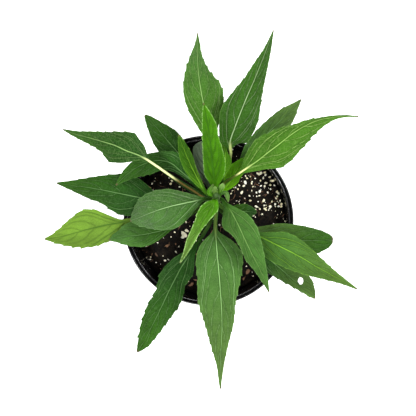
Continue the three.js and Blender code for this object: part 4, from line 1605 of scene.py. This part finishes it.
    def model(self, sheet: Sheet) -> Piece:
        """Models the blade from a grid laid on the sheet, and gives it its thickness.

        Args:
            sheet: the laid surface.

        Returns:
            The leaf's object.
        """
        n, m = sheet.points.shape[:2]
        Bench.clear_selection()
        bpy.ops.mesh.primitive_grid_add(x_subdivisions=m - 1, y_subdivisions=n - 1, size=2,
                                        location=(0, 0, 0))
        leaf = bpy.context.active_object
        plain = Bench.points(leaf)
        column = np.rint((plain[:, 0] + 1) / 2 * (m - 1)).astype(int)
        row = np.rint((plain[:, 1] + 1) / 2 * (n - 1)).astype(int)
        Bench.lay(leaf, sheet.points[row, column] * MM)
        for name, values in (("share", sheet.share), ("middle_mm", np.abs(sheet.side)),
                             ("margin_mm", sheet.half - np.abs(sheet.side)),
                             ("vein_phase", sheet.phase), ("vein_pitch", sheet.pitch),
                             ("nerve_mm", sheet.nerve), ("across", sheet.side / sheet.half)):
            Bench.attribute(leaf, name, values[row, column])
        while leaf.data.uv_layers:
            leaf.data.uv_layers.remove(leaf.data.uv_layers[0])
        flat = leaf.data.uv_layers.new(name="blade")
        corners = np.empty(len(leaf.data.loops), int)
        leaf.data.loops.foreach_get("vertex_index", corners)
        seed = self.rng.uniform(0, 9)
        uv = np.stack([sheet.run / 10 + seed, sheet.side / 10 + seed], axis=-1)[row, column][corners]
        flat.data.foreach_set("uv", uv.astype(np.float32).ravel())
        group = leaf.vertex_groups.new(name="thick")
        most = float(sheet.thickness.max())
        for index, value in enumerate(sheet.thickness[row, column] / most):
            group.add([index], float(value), "REPLACE")
        if self.plan.hole:
            self.cut_hole(leaf)
        Bench.apply(leaf, "SOLIDIFY", thickness=most * MM, offset=-1.0, vertex_group="thick",
                    material_offset=1, material_offset_rim=1, use_quality_normals=True)
        return leaf

    def cut_hole(self, leaf: Piece) -> None:
        """Takes the faces out of an oval and draws the opening's rim onto it.

        Args:
            leaf: the leaf's object.
        """
        u, v, *size = self.plan.hole
        middle = np.array(self.view.place(u, v, self.hole_level)[:2])
        half = np.array(size) / 2

        def reach() -> np.ndarray:
            """Each vertex's way from the hole's middle, in shares of its half-size."""
            return (Bench.points(leaf)[:, :2] / MM - middle) / half

        Bench.select(leaf, np.hypot(*reach().T) < 1.0)
        with Bench.editing(leaf, "FACE"):
            bpy.ops.mesh.delete(type="VERT")
        way = reach()
        far = np.hypot(*way.T)
        near = far < self.hole_rim
        rim = np.zeros(len(far), bool)
        for edge in leaf.data.edges:
            ends = list(edge.vertices)
            if near[ends[0]] != near[ends[1]]:
                rim[ends] = True
        rim &= near
        points = Bench.points(leaf)
        points[rim, :2] = (middle + way[rim] / far[rim, None] * half) * MM
        Bench.lay(leaf, points)

    def build(self) -> Sheet:
        """Models and dresses the leaf.

        Returns:
            Its laid surface, for the hairs that grow on it.
        """
        sheet = self.lay()
        leaf = self.model(sheet)
        Bench.soften(leaf)
        finish = self.finish()
        for face in Face:
            leaf.data.materials.append(finish.material(self.plan.node, face))
        Bench.settle(leaf, f"{self.plan.node}_blade", finish.slot, self.plan.node)
        return sheet


def leaflet(node: str, seat: float, near: Green, far: Green, rows: tuple) -> LeafPlan:
    """Plan of one of the small pale leaves round the growing tip, as any leaf's otherwise."""
    return LeafPlan(node, Tone.PALE, seat, 0, rows, near, far, fold=0.3, tooth=0, quill=0, teeth=2,
                    rib=0.3, columns=10)


LEAVES = (
    LeafPlan("leaf_north_long", Tone.MIDDLE, 164, 3, (
        (215, 190, 172, 2.3, 2.3), (214, 174, 186, 2, 2), (212.5, 157, 199, 2, 2),
        (211, 142, 208, 3.5, 3.5), (207.5, 125, 214, 10, 12), (204, 107, 218, 16, 20),
        (200.7, 89, 218, 17.7, 21), (198.4, 73, 213, 14, 12), (197.5, 56, 203, 7.5, 5),
        (197.5, 43, 194, 2.4, 2.4), (197.5, 33, 188, 0.5, 0.5),
    ), Green.LEAF, Green.MOSS, waves=4, tooth=0.7),
    LeafPlan("leaf_north_east_long", Tone.MIDDLE, 180, 4, (
        (222.5, 187, 183, 2.2, 2.2), (227, 173, 189, 1.9, 1.9), (229.7, 161, 195, 1.6, 1.6),
        (230.8, 153.5, 203, 1.5, 1.5), (230.3, 147, 216, 4, 3), (230.5, 140, 224, 11, 15),
        (235, 127, 231, 17, 19), (240, 114, 236, 19.5, 19.5), (246, 99, 238, 15.5, 16),
        (253, 83, 235, 10.5, 11.5), (260, 66, 227, 6.8, 8), (267, 48, 216, 2.6, 4.5),
        (273.5, 30, 206, 0.5, 0.5),
    ), Green.BOTTLE, Green.BOTTLE, PaintedHalfLight.LEFT,
        finish=dict(vein=paint(176, 204, 150), rib_show=0.6, rib_width=0.4, vein_show=0.16,
                    nerve_show=0.15, net_show=0.04, stalk_top=paint(196, 208, 130)),
        waves=4, phase=1, tooth=0.35),
    LeafPlan("leaf_north_upright", Tone.BRIGHT, 212, 1, (
        (214.5, 189, 216, 2.4, 2.6), (214.2, 182, 222, 5, 6.5), (213.5, 174, 230, 9, 11.5),
        (212.3, 163, 241, 9, 13), (211, 150, 254, 8.5, 11.5), (209.5, 137, 267, 7.5, 9),
        (207.7, 125, 278, 5.8, 8.5), (205.7, 114, 287, 3.7, 5), (203.5, 103, 295, 0.5, 0.5),
    ), Green.GRASS, Green.GRASS, PaintedHalfLight.RIGHT,
        finish=dict(edge=paint(150, 190, 110), edge_show=0.6, edge_width=0.9, vein=paint(52, 100, 24),
                    nerve_show=0.2, vein_show=0.2, rib_show=0.6),
        fold=0.3, arch=0.25, tooth=0.5, crumple=1.8),
    LeafPlan("leaf_east_twisted", Tone.MIDDLE, 196, 3, (
        (225, 182.5, 208, 2.2, 2.2), (232, 178, 216, 1.8, 1.8), (240, 172.8, 223, 1.7, 1.7),
        (245, 169.4, 227, 5.5, 4), (250, 166, 230, 10.5, 6.5), (258, 160.5, 234, 15, 11),
        (268, 152.5, 237, 17.5, 19.5), (278, 145, 238, 15.5, 20.5),
        (288, 137, 237, 11.5, 18.5), (298, 130, 234, 7, 16.5), (308, 124.5, 230, 5, 12.5),
        (320, 119.8, 224, 2.4, 8), (333, 117.2, 217, 1.8, 3), (346, 116, 210, 1.1, 1.2),
        (358, 116.5, 205, 0.6, 0.6),
    ), Green.LEAF, Green.LEAF, PaintedHalfLight.RIGHT,
        finish=dict(vein=paint(150, 190, 96), rib_show=0.6, vein_show=0.4, core_width=0.8,
                    stalk_turn=(-0.11, -0.04), stalk_top=paint(224, 228, 150),
                    stalk_foot=paint(66, 78, 20)),
        waves=3, phase=2, tilt=(0.1, 0.05, 0.5), tooth=0.7),
    LeafPlan("leaf_east_inner", Tone.BRIGHT, 184, 1, (
        (223, 190.5, 192, 2, 2), (225.5, 187.5, 194, 4, 4), (231, 180.5, 198, 7.5, 6.5),
        (235.5, 172.5, 202, 8.5, 7), (240, 165, 205, 6, 6), (244.5, 157.5, 206, 0.6, 0.6),
    ), Green.LIME, Green.GRASS, PaintedHalfLight.LEFT,
        columns=18, tooth=0.6),
    LeafPlan("leaf_north_east_low", Tone.DARK, 158, 2, (
        (224, 188, 165, 2.1, 2.1), (235, 173, 175, 2, 2), (242, 163.5, 180, 4, 4),
        (252, 152, 185, 9.5, 11), (263, 138, 187, 10, 13), (275, 126, 185, 9.7, 12),
        (287, 114.5, 179, 8, 9), (295.5, 105.5, 174, 3.6, 3.8), (301, 99.5, 170, 0.6, 0.6),
    ), Green.MOSS, Green.SAGE, phase=3, tooth=0.3),
    LeafPlan("leaf_north_west_narrow", Tone.BRIGHT, 206, 1, (
        (206, 192.5, 210, 2, 2), (202.5, 188, 214, 2.4, 2.4), (198.3, 180, 220, 5.5, 3),
        (193, 170, 225, 7.5, 3.8), (187.5, 158, 230, 7.5, 5.5), (183, 147, 233, 5, 4.5),
        (178.5, 135, 234, 0.6, 0.6),
    ), Green.LEAF, Green.BOTTLE, PaintedHalfLight.LEFT, fold=0.25, tooth=0.4),
    LeafPlan("leaf_north_west_low", Tone.DARK, 158, 2, (
        (205, 191, 165, 2.1, 2.1), (197, 181, 171, 2, 2), (190, 171, 176, 4, 4),
        (178, 153, 181, 12, 11.5), (166.5, 139.5, 181, 13.5, 13), (156, 127, 175, 9, 7.5),
        (149, 119.5, 169, 4.5, 4), (145, 115, 166, 1.2, 1.2),
    ), Green.DEEP, Green.BOTTLE, PaintedHalfLight.RIGHT, phase=1, tooth=0.3),
    LeafPlan("leaf_west_arched", Tone.DARK, 172, 2, (
        (203, 194, 178, 2.1, 2.1), (197, 186.5, 186, 2, 2), (191.5, 180.5, 192, 3, 4.5),
        (180, 170.5, 202, 4.5, 12), (171, 163.2, 207, 8, 11.5), (160, 160.5, 209, 10.3, 9),
        (148, 162.5, 207, 12, 8.5), (136, 168, 202, 9.5, 7.5), (126, 175.3, 197, 5.5, 5),
        (116, 185, 193, 0.6, 0.6),
    ), Green.DEEP, Green.BOTTLE, PaintedHalfLight.RIGHT, phase=2, tooth=0.5),
    LeafPlan("leaf_west_low", Tone.DARK, 152, 3, (
        (203, 203.5, 157, 2.2, 2.2), (180, 203, 167, 2, 2), (163, 202, 174, 2, 2),
        (157, 201.2, 177, 5, 5), (149, 199.5, 180, 13, 11), (137, 197, 183, 19, 17.6),
        (122, 194, 185, 20.5, 20.5), (105, 190.5, 185, 13.8, 16), (88, 187.5, 181, 10.3, 10.2),
        (72, 185.5, 175, 5, 5.2), (56.5, 183, 168, 0.6, 0.6),
    ), Green.DEEP, Green.BOTTLE, PaintedHalfLight.RIGHT, waves=4, tooth=0.5),
    LeafPlan("leaf_west_stalked", Tone.MIDDLE, 180, 5, (
        (203, 197, 184, 2.5, 2.5), (196, 192.5, 190, 2.8, 2.8), (188, 187.5, 198, 2.6, 2.6),
        (178, 181, 207, 2.1, 2.1), (163, 170.5, 219, 1.5, 1.5), (148, 160.3, 229, 1.6, 2.2),
        (144, 158, 231, 2.6, 6), (138, 155, 233, 6, 12.5), (127, 151, 235, 13, 19.6),
        (115, 145.5, 233, 17.5, 15), (104, 142, 227, 10.3, 10.8), (90, 138, 217, 6.3, 7),
        (76, 134.3, 206, 3.2, 3.5), (63, 129.5, 197, 0.6, 0.6),
    ), Green.DEEP, Green.BOTTLE,
        finish=dict(vein=paint(150, 190, 110), rib_show=0.6, vein_show=0.15, nerve_show=0.12,
                    core_width=1.0, stalk_turn=(-0.42, -0.28), stalk_top=paint(226, 234, 164),
                    stalk_foot=paint(112, 96, 46)),
        phase=2, tooth=0.8),
    LeafPlan("leaf_west_curled", Tone.SATIN, 198, 1, (
        (203.5, 199, 205, 2.2, 2.2), (200, 199.8, 208, 4, 3.6), (193, 201.4, 213, 9, 7.5),
        (184, 203.3, 218, 16.5, 12), (172, 206, 222, 22, 17.5), (160, 209.5, 222, 21.5, 19.5),
        (149, 213.5, 217, 17, 18.5), (140.5, 217, 208, 11, 13.5), (134, 219.6, 199, 5, 6),
        (130.5, 221, 194, 0.8, 0.8),
    ), Green.BOTTLE, Green.MOSS, PaintedHalfLight.LEFT, arch=0.35, phase=1, tooth=0.45),
    LeafPlan("leaf_south_west_tucked", Tone.DARK, 165, 2, (
        (202, 206, 170, 2.1, 2.1), (190, 214.5, 176, 2, 2), (174, 224.5, 182, 2.4, 3),
        (165, 229.3, 184, 5, 7), (154, 232.5, 186, 9.5, 12), (142, 234.8, 187, 12, 14),
        (130, 236, 187, 10, 13.5), (119, 237.3, 185, 6.3, 6.5), (109, 240, 183, 0.6, 0.6),
    ), Green.BOTTLE, Green.MOSS, PaintedHalfLight.LEFT, phase=2, tooth=0.3),
    LeafPlan("leaf_west_far", Tone.LIGHT, 158, 3, (
        (203, 207.5, 161, 2.2, 2.2), (180, 213.5, 168, 2, 2), (150, 219, 174, 2, 2),
        (128, 221, 178, 4, 2.5), (120, 222.6, 179, 12, 3.6), (110, 224.3, 179, 15.7, 9.7),
        (100, 226.5, 178, 17.5, 17), (88, 229.3, 176, 18.3, 20), (76, 232.7, 172, 15.5, 16),
        (64, 236, 167, 10.2, 10), (54, 238, 162, 5, 4.6), (44.5, 239, 158, 0.6, 0.6),
    ), Green.SUNNY, Green.SUNNY, PaintedHalfLight.RIGHT, waves=4, phase=3, tooth=0.8),
    LeafPlan("leaf_south_west_folded", Tone.BRIGHT, 214, 1, (
        (214.8, 199.5, 218, 3, 2.4), (213.7, 202.5, 221, 5.6, 4.2),
        (211, 206.5, 225, 8.2, 7.2), (206.3, 214, 230, 6.5, 8.8), (200.5, 224, 233, 4.8, 6.6),
        (195.5, 233, 233, 3.8, 5.5), (190.5, 242.5, 230, 3.6, 4.6), (186, 252, 226, 2.2, 2.6),
        (180, 263, 219, 0.6, 0.6),
    ), Green.GRASS, Green.SOFT, PaintedHalfLight.LEFT,
        finish=dict(vein=paint(120, 164, 70), rib_show=0.12, nerve_show=0.1, edge=paint(160, 198, 120),
                    edge_show=0.7, edge_width=1.1),
        fold=0.35, arch=0.15, wave=0.13, waves=4, tooth=0.6, crumple=1.8),
    LeafPlan("leaf_south_long", Tone.MIDDLE, 172, 3, (
        (215.8, 212, 180, 2.3, 2.3), (215.5, 220, 190, 2, 2), (215.4, 227, 197, 2, 2),
        (215.5, 232, 201, 3.5, 3.5), (216.3, 243, 207, 17, 15.5), (217.5, 257, 212, 25, 21.5),
        (219.3, 277, 215, 22, 22), (221, 300, 212, 15.2, 23), (222, 322, 204, 12, 17.8),
        (221.3, 345, 192, 7, 11), (220.3, 366, 181, 3.6, 3.8), (220.2, 380, 174, 1.8, 1.7),
        (220.5, 389, 170, 0.6, 0.6),
    ), Green.MOSS, Green.SAGE,
        finish=dict(vein=paint(150, 196, 122), rib_show=0.7, rib_width=0.35, nerve_show=0.35,
                    net_show=0.05, vein_show=0.26, stalk_top=paint(92, 116, 50),
                    stalk_foot=paint(58, 66, 26)),
        wave=0.07, waves=5, tooth=0.6),
    LeafPlan("leaf_south_east_inner", Tone.BRIGHT, 190, 2, (
        (221.5, 199.5, 198, 2.1, 2.1), (226, 204.5, 206, 2.2, 3.4),
        (229.5, 208.8, 212, 4.8, 7.5), (236, 220.5, 222, 13.3, 14.7),
        (241.5, 232, 228, 16, 9.5), (247, 244, 231, 15, 7.8), (253, 256, 230, 11.7, 8.2),
        (259, 267.5, 226, 7.6, 5.8), (264, 279, 220, 4.2, 3.2), (269, 292, 213, 0.6, 0.6),
    ), Green.MOSS, Green.MOSS, PaintedHalfLight.LEFT,
        finish=dict(vein=paint(118, 158, 84), rib_show=0.55, stalk_top=paint(52, 92, 26),
                    stalk_foot=paint(30, 54, 12), edge=paint(140, 178, 110)),
        arch=0.3, phase=2, tooth=0.4),
    LeafPlan("leaf_east_broad", Tone.BRIGHT, 176.5, 3, (
        (225, 209.5, 180, 2.1, 2.1), (237, 221, 189, 2, 2), (249, 230, 198, 2, 2),
        (258, 235.5, 204, 4, 4.5), (267, 240, 209, 8.5, 14), (278, 245.5, 213, 15, 17),
        (291, 252, 214, 15.8, 16.8), (304, 259, 212, 12.8, 15.2), (317, 267, 207, 9.7, 11),
        (330, 274, 200, 6, 7), (343, 281, 193, 3, 3.5), (357, 289, 186, 0.6, 0.6),
    ), Green.MOSS, Green.SAGE, PaintedHalfLight.LEFT, waves=4, phase=1, tooth=0.4),
    LeafPlan("leaf_east_low", Tone.DARK, 158, 2, (
        (226, 209, 163, 2.1, 2.1), (242, 222, 172, 2, 2), (252, 229.5, 177, 4, 4),
        (262, 235, 181, 10, 10), (276, 238.5, 184, 15.2, 14.5), (295, 240.2, 184, 15.5, 15.5),
        (312, 240.5, 181, 12.8, 14.3), (322, 240, 177.7, 9.5, 11.2), (328, 239.4, 175.5, 6.4, 7.8),
        (331.6, 238.9, 174.2, 3.4, 4.4), (333, 238.6, 173.6, 0.6, 0.6),
    ), Green.SAGE, Green.BOTTLE, phase=1, tooth=0.15),
    LeafPlan("leaf_south_east_low", Tone.DARK, 154.5, 2, (
        (225, 215, 160, 2, 2), (242, 232, 168, 2, 2), (254, 245, 171, 5, 5),
        (268, 258, 173, 12, 10.5), (282, 270, 174, 14, 10), (294, 280.5, 174, 14.5, 6.6),
        (304, 288.5, 172, 12, 4.6), (310.5, 294, 171, 6.5, 3.2), (315, 298.5, 170, 0.8, 0.8),
    ), Green.DEEP, Green.SAGE, PaintedHalfLight.RIGHT, phase=3, hole=(300.5, 281, 5, 7), tooth=0.6),
    LeafPlan("leaf_south_west_low", Tone.DARK, 152, 3, (
        (210.5, 221, 160, 2.2, 2.2), (204, 233, 167, 2, 2), (196, 245.5, 173, 2.6, 2.6),
        (189.5, 255, 177, 6.5, 6.5), (181.5, 267, 179, 13.5, 12.5),
        (174.5, 280, 180, 12.5, 15.7), (167, 295, 180, 15.8, 12.5),
        (160, 310, 178, 13.5, 13.5), (153, 324, 174, 10.6, 12), (145.5, 339, 169, 7.4, 8),
        (140.5, 347, 166, 4.2, 3.8), (137, 352, 164, 0.9, 0.9),
    ), Green.DEEP, Green.BOTTLE, PaintedHalfLight.LEFT, wave=0.12, waves=5, phase=1, tooth=0.8),
    LeafPlan("leaf_east_small", Tone.DARK, 150.5, 1, (
        (226, 208, 154, 1.7, 1.7), (231, 209.8, 156.5, 3.5, 3.5), (236, 210.8, 159, 6.3, 6.3),
        (244, 211.3, 161, 7.2, 7), (251, 211.8, 161, 5.5, 5.5), (257, 212.3, 160, 0.6, 0.6),
    ), Green.LEAF, Green.DEEP,
        columns=16, tooth=0.5),
    LeafPlan("leaf_north_low", Tone.GREY, 152, 1, (
        (209, 187, 158, 1.9, 1.9), (206.5, 181, 160, 3, 3), (205, 172, 163, 8.5, 7),
        (205, 163, 165, 11, 10.5), (206, 154, 168, 13.3, 14), (207.5, 147, 170, 12.8, 13.5),
        (208.2, 142.5, 171, 7, 8), (208.4, 140.5, 171, 2, 2),
    ), Green.ASH, Green.ASH,
        columns=20, phase=1, tooth=0.5),
    LeafPlan("leaf_north_inner", Tone.BRIGHT, 204, 1, (
        (217.5, 184, 209, 1.8, 1.8), (219.5, 179, 211, 3, 3), (222, 172, 212, 5, 4.5),
        (225.3, 162, 211, 6.3, 6.5), (225.3, 153, 208.5, 6.3, 2.7), (223.9, 146, 206, 4, 1.8),
        (223, 141, 205, 0.6, 0.6),
    ), Green.GRASS, Green.LEAF,
        columns=18, tooth=0.6),
    leaflet("bud_leaf_pointed", 221, Green.GRASS, Green.SAGE, (
        (210.2, 194, 226, 1.8, 1.8), (209.8, 191.4, 229, 2.7, 2.4),
        (211.2, 188, 233, 1.9, 1.8), (213.5, 184.3, 237, 0.5, 0.5),
    )),
    leaflet("bud_leaf_pale", 222, Green.SOFT, Green.SILVER, (
        (215.3, 191.5, 228, 2.2, 2.2), (215, 189.5, 231.5, 2.8, 2.6),
        (215.4, 186.4, 235, 0.5, 0.5),
    )),
    leaflet("bud_leaf_broad", 221, Green.LEAF, Green.SILVER, (
        (220, 191.9, 227, 1.3, 1.3), (221, 189.5, 230, 2, 2), (222.1, 186.4, 233, 2.8, 2.8),
        (223.8, 183.2, 236, 0.6, 0.6),
    )),
    leaflet("bud_leaf_strip", 220, Green.MOSS, Green.SAGE, (
        (223, 192.8, 223, 1.6, 1.6), (226.2, 193, 226, 2.2, 2.4),
        (227.8, 196.6, 226.5, 1.8, 2.5), (228.2, 202, 223.5, 0.5, 0.5),
    )),
)
YOUNG = tuple(plan.node for plan in LEAVES if plan.tone is Tone.PALE)


@dataclass(frozen=True)
class StemSkin:
    """Young stem: green above, browner at its foot, with fine lengthwise ribs."""

    green: Colour = paint(34, 60, 16)
    pale: Colour = paint(56, 86, 30)
    brown: Colour = paint(78, 60, 34)

    def material(self) -> bpy.types.Material:
        """Builds the material.

        Returns:
            The material.
        """
        shade = Shade("stem_green_brown")
        place = shade.place()
        lines = shade.cloud(shade.place((1.0, 1.0, 0.12)), 1300, 3)
        freckles = shade.cloud(place, 900, 3, 0.7)
        rise = shade.attribute("rise")
        colour = shade.mix(shade.band(lines, 0.42, 0.62), self.green, self.pale)
        brown = shade.times(shade.band(rise, 0.75, 0.05), shade.band(freckles, 0.3, 0.6))
        colour = shade.mix(brown, colour, self.brown)
        shade.set(Base_Color=colour, Roughness=shade.range(freckles, 0.3, 0.7, (0.5, 0.68)),
                  Specular_IOR_Level=0.25)
        shade.bump(lines, 0.3, 0.8)
        return shade.material


@dataclass(frozen=True)
class HairWhite:
    """Short stiff whitish hairs, each of its own tone between a greener one and a paler one."""

    foot: Colour = paint(120, 150, 84)
    tip: Colour = paint(196, 210, 166)

    def material(self) -> bpy.types.Material:
        """Builds the material.

        Returns:
            The material.
        """
        shade = Shade("hair_whitish")
        speck = shade.cloud(shade.place(), 2200, 2)
        tone = shade.times(shade.attribute("tone"), shade.range(speck, 0.3, 0.7, (0.6, 1.0)))
        shade.set(Base_Color=shade.mix(tone, self.foot, self.tip),
                  Roughness=shade.range(speck, 0.3, 0.7, (0.45, 0.6)))
        return shade.material


@dataclass
class Stem:
    """The short upright stem, drawn up ring by ring along its line, in mm.

    Its `rings` lie between the heights `foot` and `shoulder`, and two more at `tip`. `apex` and
    `dome` are the height and depth of its rounded end, and `nodes` the heights of its swellings.
    """

    line: StemLine
    sides: int = 40
    rings: int = 60
    radius: float = 6.2
    foot: float = 139.0
    shoulder: float = 225.2
    tip: tuple[float, float] = (226.0, 226.6)
    apex: float = 227.4
    dome: float = 2.2
    ribs: int = 9
    nodes: tuple = (152, 158, 165, 172, 180, 190, 198, 206, 214, 221)
    skin: StemSkin = field(default_factory=StemSkin)

    def draw_rod(self) -> Piece:
        """Draws a straight rod with all the stem's rings.

        Returns:
            The rod.
        """
        rings = [(self.radius, z) for z in np.linspace(self.foot, self.shoulder, self.rings)]
        rings += [(self.radius, z) for z in self.tip]
        rod = Bench.disc(self.sides, *rings[0])
        with Bench.editing(rod, "EDGE"):
            Bench.draw_up(rings)
            bpy.ops.mesh.merge(type="CENTER")
            Bench.face_outwards()
        Bench.fix_place(rod)
        return rod

    def build(self) -> Piece:
        """Models and dresses the stem.

        Returns:
            The stem's piece.
        """
        stem = self.draw_rod()
        points = Bench.points(stem) / MM
        x, y, z = points.T
        axis = self.line.at_height(z)
        angle = np.arctan2(y, x)
        reach = np.minimum(1.0, np.hypot(x, y) / self.radius)
        swell = sum(0.35 * np.exp(-(((z - node) / 2.2) ** 2)) for node in self.nodes)
        rib = 0.12 * np.cos(self.ribs * angle + z / 40)
        tip = np.sqrt(np.clip((self.apex - z) / self.dome, 0, 1))
        radius = (axis[:, 3] * 0.96 + swell + rib) * tip * reach
        rise = (z - self.foot) / (self.tip[0] - self.foot)
        points[:, 0] = axis[:, 0] + radius * np.cos(angle)
        points[:, 1] = axis[:, 1] + radius * np.sin(angle)
        Bench.lay(stem, points * MM)
        Bench.attribute(stem, "rise", rise)
        Bench.soften(stem)
        stem.data.materials.append(self.skin.material())
        return Bench.settle(stem, "stem_body", Slot.STEM, "stem")


@dataclass
class Bristles:
    """Short hairs on the stem, the stalks and the youngest leaves, in mm.

    `stem_span` is the range of heights at which they stand on the stem, `root` how deep they
    start in the skin, and `stray` how far their way strays from the surface's normal.
    """

    line: StemLine
    seed: int = 11
    on_stem: int = 600
    on_stalk: int = 16
    on_young: int = 18
    stem_span: tuple[float, float] = (150, 221)
    length: tuple[float, float] = (0.5, 1.1)
    radius: float = 0.045
    root: float = 0.05
    stray: float = 0.5

    def hair(self) -> Model:
        """One hair, 1 long along Z and 1 in radius: a three-sided cone without its foot.

        Returns:
            Its points and faces.
        """
        Bench.clear_selection()
        bpy.ops.mesh.primitive_cone_add(vertices=3, radius1=1, radius2=0, depth=1,
                                        end_fill_type="NOTHING", location=(0, 0, 0.5))
        cone = bpy.context.active_object
        Bench.fix_place(cone)
        return Bench.take_apart(cone)

    def plant(self, bed: Scatter, model: Model, foot: Vector, way: Vector) -> None:
        """Sets one hair.

        Args:
            bed: the hairs so far.
            model: the hair's points and faces.
            foot: its foot, in mm.
            way: the surface's normal there.
        """
        rng = bed.rng
        stray = Vector([rng.uniform(-self.stray, self.stray) for _ in range(3)])
        way = (way + stray).normalized()
        turn = way.to_track_quat("Z", "Y").to_matrix().to_4x4()
        long = rng.uniform(*self.length)
        size = Matrix.Diagonal((self.radius, self.radius, long, 1))
        bed.add(model, Matrix.Translation(foot - self.root * way) @ turn @ size, rng.random())

    def build(self, sheets: dict[str, Sheet], young: Sequence[str]) -> Piece:
        """Models and dresses all hairs.

        Args:
            sheets: each leaf's laid surface, by node.
            young: nodes of the youngest leaves, which are hairy all over.

        Returns:
            The hairs' piece.
        """
        rng = random.Random(self.seed)
        model = self.hair()
        bed = Scatter(rng)
        for _ in range(self.on_stem):
            z, angle = rng.uniform(*self.stem_span), rng.uniform(0, 2 * math.pi)
            x, y, _, r = self.line.at_height(np.array(z))
            way = Vector((math.cos(angle), math.sin(angle), 0))
            self.plant(bed, model, Vector((x, y, z)) + way * r * 0.97, way)
        for node, sheet in sheets.items():
            hairy = (sheet.share[:, 0] <= 0.1) | (node in young)
            rows = np.flatnonzero(hairy)[2:]
            for _ in range(self.on_young if node in young else self.on_stalk):
                i = int(rng.choice(list(rows)))
                j = rng.choice((0, -1, rng.randrange(sheet.points.shape[1])))
                self.plant(bed, model, Vector(sheet.points[i, j]), Vector(sheet.normals[i, j]))
        return bed.join("fine_hairs", Slot.STEM, HairWhite().material())


@dataclass(frozen=True)
class SoftBox:
    """One soft studio lamp: its place and size in metres, its power in watts."""

    name: str
    place: tuple[float, float, float]
    size: tuple[float, float]
    power: float
    aim: tuple[float, float, float] = (0.0, 0.0, 0.18)

    def hang(self) -> None:
        """Hangs the lamp, turned to the plant."""
        lamp = bpy.data.lights.new(self.name, "AREA")
        lamp.shape = "RECTANGLE"
        lamp.size, lamp.size_y = self.size
        lamp.energy = self.power
        stand = bpy.data.objects.new(self.name, lamp)
        stand.location = self.place
        way = Vector(self.aim) - Vector(self.place)
        stand.rotation_euler = way.to_track_quat("-Z", "Y").to_euler()
        stand.visible_camera = False
        bpy.context.scene.collection.objects.link(stand)


@dataclass
class Studio:
    """Pale floor, soft lamps, a pale surround and the straight-down camera."""

    view: PhotoView
    sensor: float = 36.0
    pixels: int = 416
    floor_side: float = 9.0
    lamps: tuple = (
        SoftBox("lamp_left", (-1.35, 0.35, 2.0), (0.7, 0.9), 30),
        SoftBox("lamp_right", (1.25, 0.75, 1.8), (0.3, 0.6), 50),
        SoftBox("lamp_front", (-0.35, -1.45, 2.0), (0.9, 0.6), 32),
        SoftBox("lamp_top", (0.1, -0.4, 2.3), (0.5, 0.5), 22),
    )

    def lay_floor(self) -> None:
        """Lays the pale floor."""
        Bench.clear_selection()
        bpy.ops.mesh.primitive_plane_add(size=self.floor_side, location=(0, 0, 0))
        floor = bpy.context.active_object
        floor.name = "floor"
        shade = Shade("floor_pale")
        speck = shade.cloud(shade.place(), 30, 2)
        shade.set(Base_Color=shade.mix(speck, paint(248, 248, 248), paint(252, 252, 252)), Roughness=0.9,
                  Emission_Color=(1.0, 1.0, 1.0, 1.0), Emission_Strength=0.45)
        floor.data.materials.append(shade.material)

    def light(self) -> None:
        """Hangs the lamps and sets the surround, pale at the sides and dimmer overhead."""
        for lamp in self.lamps:
            lamp.hang()
        world = bpy.data.worlds.new("surround")
        bpy.context.scene.world = world
        world.use_nodes = True
        tree = world.node_tree
        tree.nodes.clear()
        source = tree.nodes.new("ShaderNodeTexCoord")
        split = tree.nodes.new("ShaderNodeSeparateXYZ")
        ramp = tree.nodes.new("ShaderNodeMapRange")
        back = tree.nodes.new("ShaderNodeBackground")
        output = tree.nodes.new("ShaderNodeOutputWorld")
        for name, value in (("From Min", 0.0), ("From Max", 0.9),
                            ("To Min", 0.95), ("To Max", 0.25)):
            ramp.inputs[name].default_value = value
        tree.links.new(source.outputs["Generated"], split.inputs[0])
        tree.links.new(split.outputs["Z"], ramp.inputs["Value"])
        tree.links.new(ramp.outputs["Result"], back.inputs["Strength"])
        tree.links.new(back.outputs[0], output.inputs[0])

    def set_camera(self) -> None:
        """Sets the camera over the plant, looking straight down."""
        lens = bpy.data.cameras.new("camera")
        lens.sensor_width = self.sensor
        lens.lens = self.view.focal / self.pixels * self.sensor
        lens.clip_start, lens.clip_end = 0.05, 30
        camera = bpy.data.objects.new("camera", lens)
        camera.location = (self.view.x * MM, self.view.y * MM, self.view.z * MM)
        bpy.context.scene.collection.objects.link(camera)
        bpy.context.scene.camera = camera

    def build(self) -> None:
        """Sets up the whole studio."""
        self.lay_floor()
        self.light()
        self.set_camera()
        settings = bpy.context.scene.view_settings
        settings.view_transform = "Standard"
        settings.look = "None"
        log.info("studio: %d lamps", len(self.lamps))


def main() -> None:
    """Builds every piece on the frame, then the studio."""
    logging.basicConfig(level=logging.INFO, format="%(message)s")
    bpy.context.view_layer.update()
    view = PhotoView()
    stem = StemLine()
    ground = Ground()
    Studio(view).build()
    NurseryPot().build()
    PottingSoil(ground).build()
    SoilBits(ground, view).build()
    Stem(stem).build()
    sheets = {plan.node: Leaf(plan, stem, view).build() for plan in LEAVES}
    Bristles(stem).build(sheets, YOUNG)
    Bench.clear_selection()


if __name__ == "__main__":
    main()
